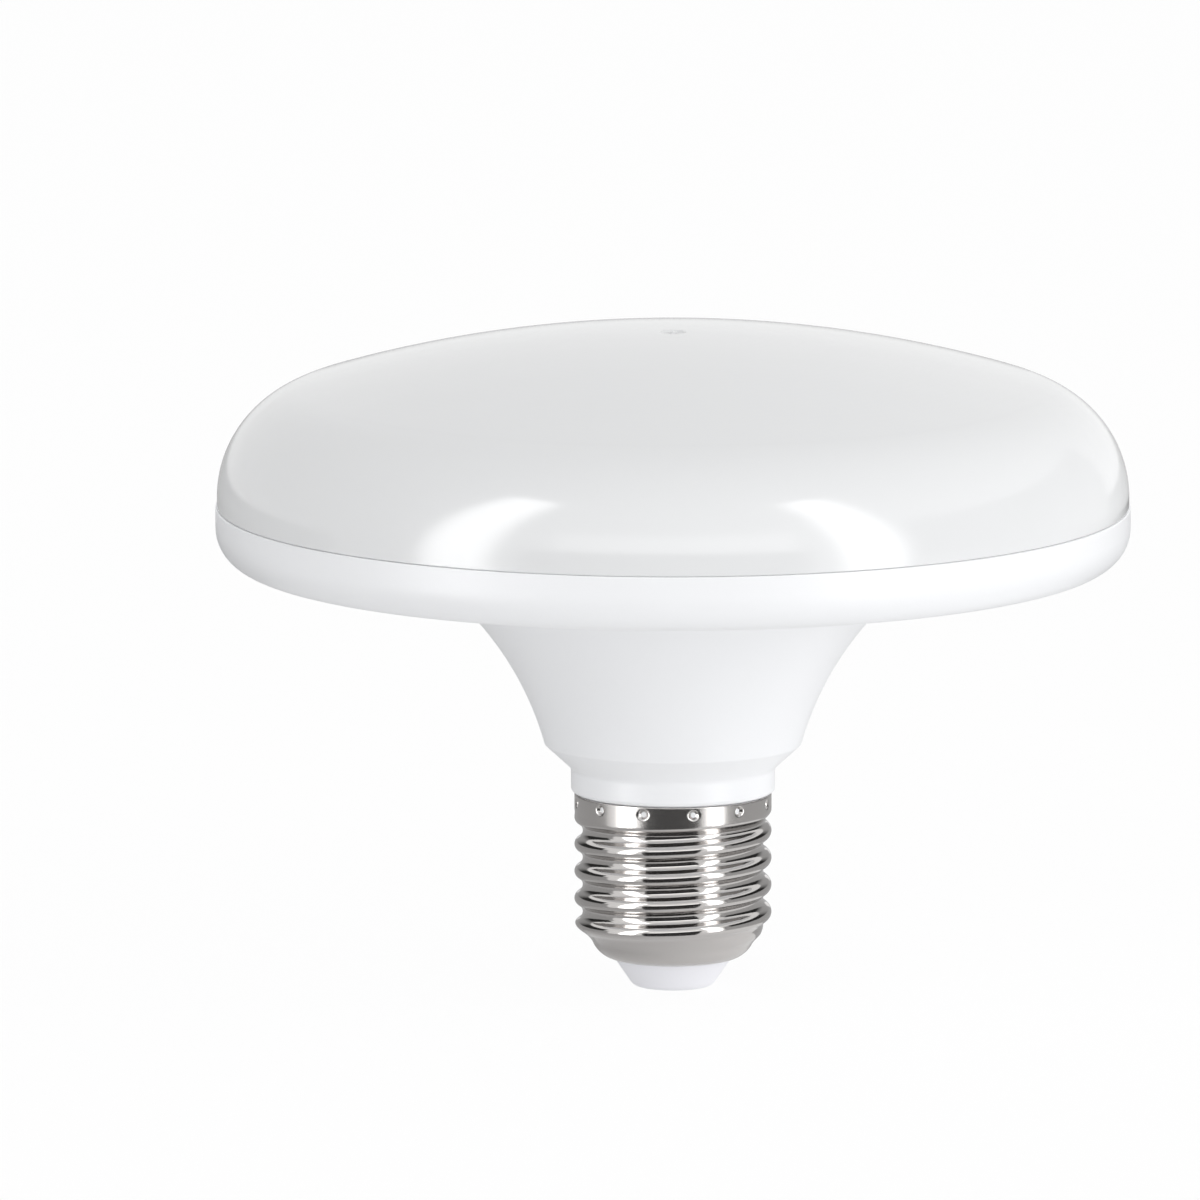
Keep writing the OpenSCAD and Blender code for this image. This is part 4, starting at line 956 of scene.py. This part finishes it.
sideways = {"Value": way.outputs["X"], "From Min": -1, "To Min": -side_light, "To Max": side_light}
parts = [add(tree, "ShaderNodeMapRange", slope).outputs[0] for slope in (upright, sideways)]
light = add(tree, "ShaderNodeMath", {0: parts[0], 1: parts[1]}).outputs[0]
level = add(tree, "ShaderNodeMapRange", {"Value": seen, "To Min": light, "To Max": 1.0}).outputs[0]
air = add(tree, "ShaderNodeBackground", {"Color": (1, 1, 1, 1), "Strength": level})
add(tree, "ShaderNodeOutputWorld", {"Surface": air.outputs[0]})


def glow(name, corners, faces, strength):
    """A glowing sheet that only gloss and metal see; strength gives a socket for its material's tree."""
    mesh = bpy.data.meshes.new(name)
    mesh.from_pydata(np.asarray(corners).tolist(), [], np.asarray(faces).tolist())
    sheet = bpy.data.objects.new(name, mesh)
    bpy.context.scene.collection.objects.link(sheet)
    cloth, tree = material(name + "_cloth")
    shining = {"Color": (1, 1, 1, 1), "Strength": strength(tree)}
    surface(tree, add(tree, "ShaderNodeEmission", shining))
    dress(sheet, cloth)
    sheet.visible_camera = False
    sheet.visible_diffuse = False
    sheet.visible_shadow = False


box_distance = 0.85
box_low = -0.35
box_high = 1.1
box_fade = 0.1
box_edge_shine = 0.5


def soft_box(name, azimuth, lean, width, power, shine):
    """A tall soft box that faces the lamp, azimuth degrees right of the front, and leans by lean degrees.
    Its light reaches plain surfaces, and gloss sees its cloth instead: a glowing sheet of strength shine,
    fading at both sides, which the calls below set several times brighter than the box's own light, so that
    it paints stronger highlights."""
    a = math.radians(azimuth)
    roll = math.radians(lean)
    middle = (box_low + box_high) / 2
    side = middle * math.tan(roll)
    outwards = np.array([math.sin(a), -math.cos(a), 0])
    sideways = np.array([math.cos(a), math.sin(a), 0])
    centre = box_distance * outwards + side * sideways + np.array([0, 0, middle])
    light = bpy.data.lights.new(name, "AREA")
    light.shape = "RECTANGLE"
    light.size = width
    light.size_y = box_high - box_low
    light.energy = power
    box = bpy.data.objects.new(name, light)
    bpy.context.scene.collection.objects.link(box)
    box.location = centre
    box.rotation_euler = (math.pi / 2, roll, a)
    box.visible_camera = False
    box.visible_glossy = False

    u = math.cos(roll) * sideways - math.sin(roll) * np.array([0, 0, 1])
    v = math.sin(roll) * sideways + math.cos(roll) * np.array([0, 0, 1])
    half_u = width / 2 * u
    half_v = (box_high - box_low) / 2 * v
    low_edge = [centre - half_u - half_v, centre + half_u - half_v]
    high_edge = [centre + half_u + half_v, centre - half_u + half_v]

    def fading(tree):
        off = add(tree, "ShaderNodeVectorMath", {0: place(tree), 1: centre}, operation="SUBTRACT")
        off = add(tree, "ShaderNodeVectorMath", {0: off.outputs[0], 1: u}, operation="DOT_PRODUCT")
        off = add(tree, "ShaderNodeMath", {0: off.outputs["Value"]}, operation="ABSOLUTE")
        ends = {"From Min": width / 2, "From Max": width / 2 - box_fade}
        shines = {"To Min": box_edge_shine, "To Max": shine}
        return add(tree, "ShaderNodeMapRange", {"Value": off.outputs[0], **ends, **shines}).outputs[0]

    glow(name + "_cloth", low_edge + high_edge, [(0, 1, 2, 3)], fading)


soft_box("soft_box_right", 50, -6.5, 0.34, 2.2, 5.2)
soft_box("soft_box_left", -55, 7.5, 0.38, 2.85, 5.8)


def screen(name, azimuths, line, first, last, axis="X", span=(-0.3, 0.3)):
    """Part of a surface turned round the lamp: a line of (radius, z) points over a range of azimuths.
    It glows, and its strength runs from first to last over the span of places on the axis, in metres."""
    a = np.radians(np.linspace(*azimuths, 33))
    rows = [np.stack([r * np.sin(a), -r * np.cos(a), z + 0 * a], axis=1) for r, z in line]
    i = np.arange(len(a) - 1)
    faces = np.stack([i, i + 1, i + 1 + len(a), i + len(a)], axis=1)

    def slope(tree):
        ends = {"From Min": span[0], "From Max": span[1], "To Min": first, "To Max": last}
        return add(tree, "ShaderNodeMapRange", {"Value": axes(tree)[axis], **ends}).outputs[0]

    glow(name, np.concatenate(rows), faces, slope)


# Glowing sheets that only gloss sees paint reflections into the lamp: grey and dark screens give the cap's
# metal its contrast, and darken the dome's outline and its right side.
# A bright strip paints a light band in the dome's front. The sheet called table paints the reflection of a
# lit table below, lighter to the right, and the two wall sheets paint reflections of walls.
# The dark screens stand clear of the lamp, and below the dome's own reflections.
screen("table", (-180, 180), [(0.001, -0.3), (0.8, -0.3)], 0.5, 0.9)
screen("dark_gap", (-36, 32), [(0.35, -0.6), (0.35, 0.085)], 0.01, 0.01)
screen("bright_strip", (-30, 30), [(1.0, 0.16), (1.0, 0.44)], 1.7, 1.7)
screen("right_grey", (62, 160), [(0.14, -0.05), (0.14, 0.05)], 0.45, 0.45)
screen("right_dark", (66, 165), [(0.085, 0.026), (0.085, 0.058)], 0.02, 0.42, "Y", (0.05, 0.07))
screen("left_grey", (-165, -80), [(0.14, -0.06), (0.14, 0.05)], 0.4, 0.4)
screen("left_dark", (-165, -86), [(0.085, 0.024), (0.085, 0.055)], 0.03, 0.36, "Y", (0.055, 0.075))
screen("right_wall_reflection", (62, 142), [(2.3, -0.3), (2.3, 1.0)], 0.2, 0.8, "Y", (0.5, 2.1))
screen("back_wall_reflection", (95, 265), [(2.4, -1.0), (2.4, -0.02)], 0.45, 0.45)

# A sheet of white translucent acrylic, lit from below as well, that keeps a faint shadow
half, drop = 3, -2e-5
floor_corners = [(-half, -half, drop), (half, -half, drop), (half, half, drop), (-half, half, drop)]
floor_mesh = bpy.data.meshes.new("floor")
floor_mesh.from_pydata(floor_corners, [], [(0, 1, 2, 3)])
floor = bpy.data.objects.new("floor", floor_mesh)
bpy.context.scene.collection.objects.link(floor)
acrylic, tree = material("translucent_white_acrylic")
clear = add(tree, "ShaderNodeBsdfTransparent")
white = add(tree, "ShaderNodeBsdfDiffuse", {"Color": colour("#FFFFFF")})
surface(tree, add(tree, "ShaderNodeMixShader", {0: 0.05, 1: clear.outputs[0], 2: white.outputs[0]}))
dress(floor, acrylic)

bpy.context.scene.view_settings.view_transform = "Standard"
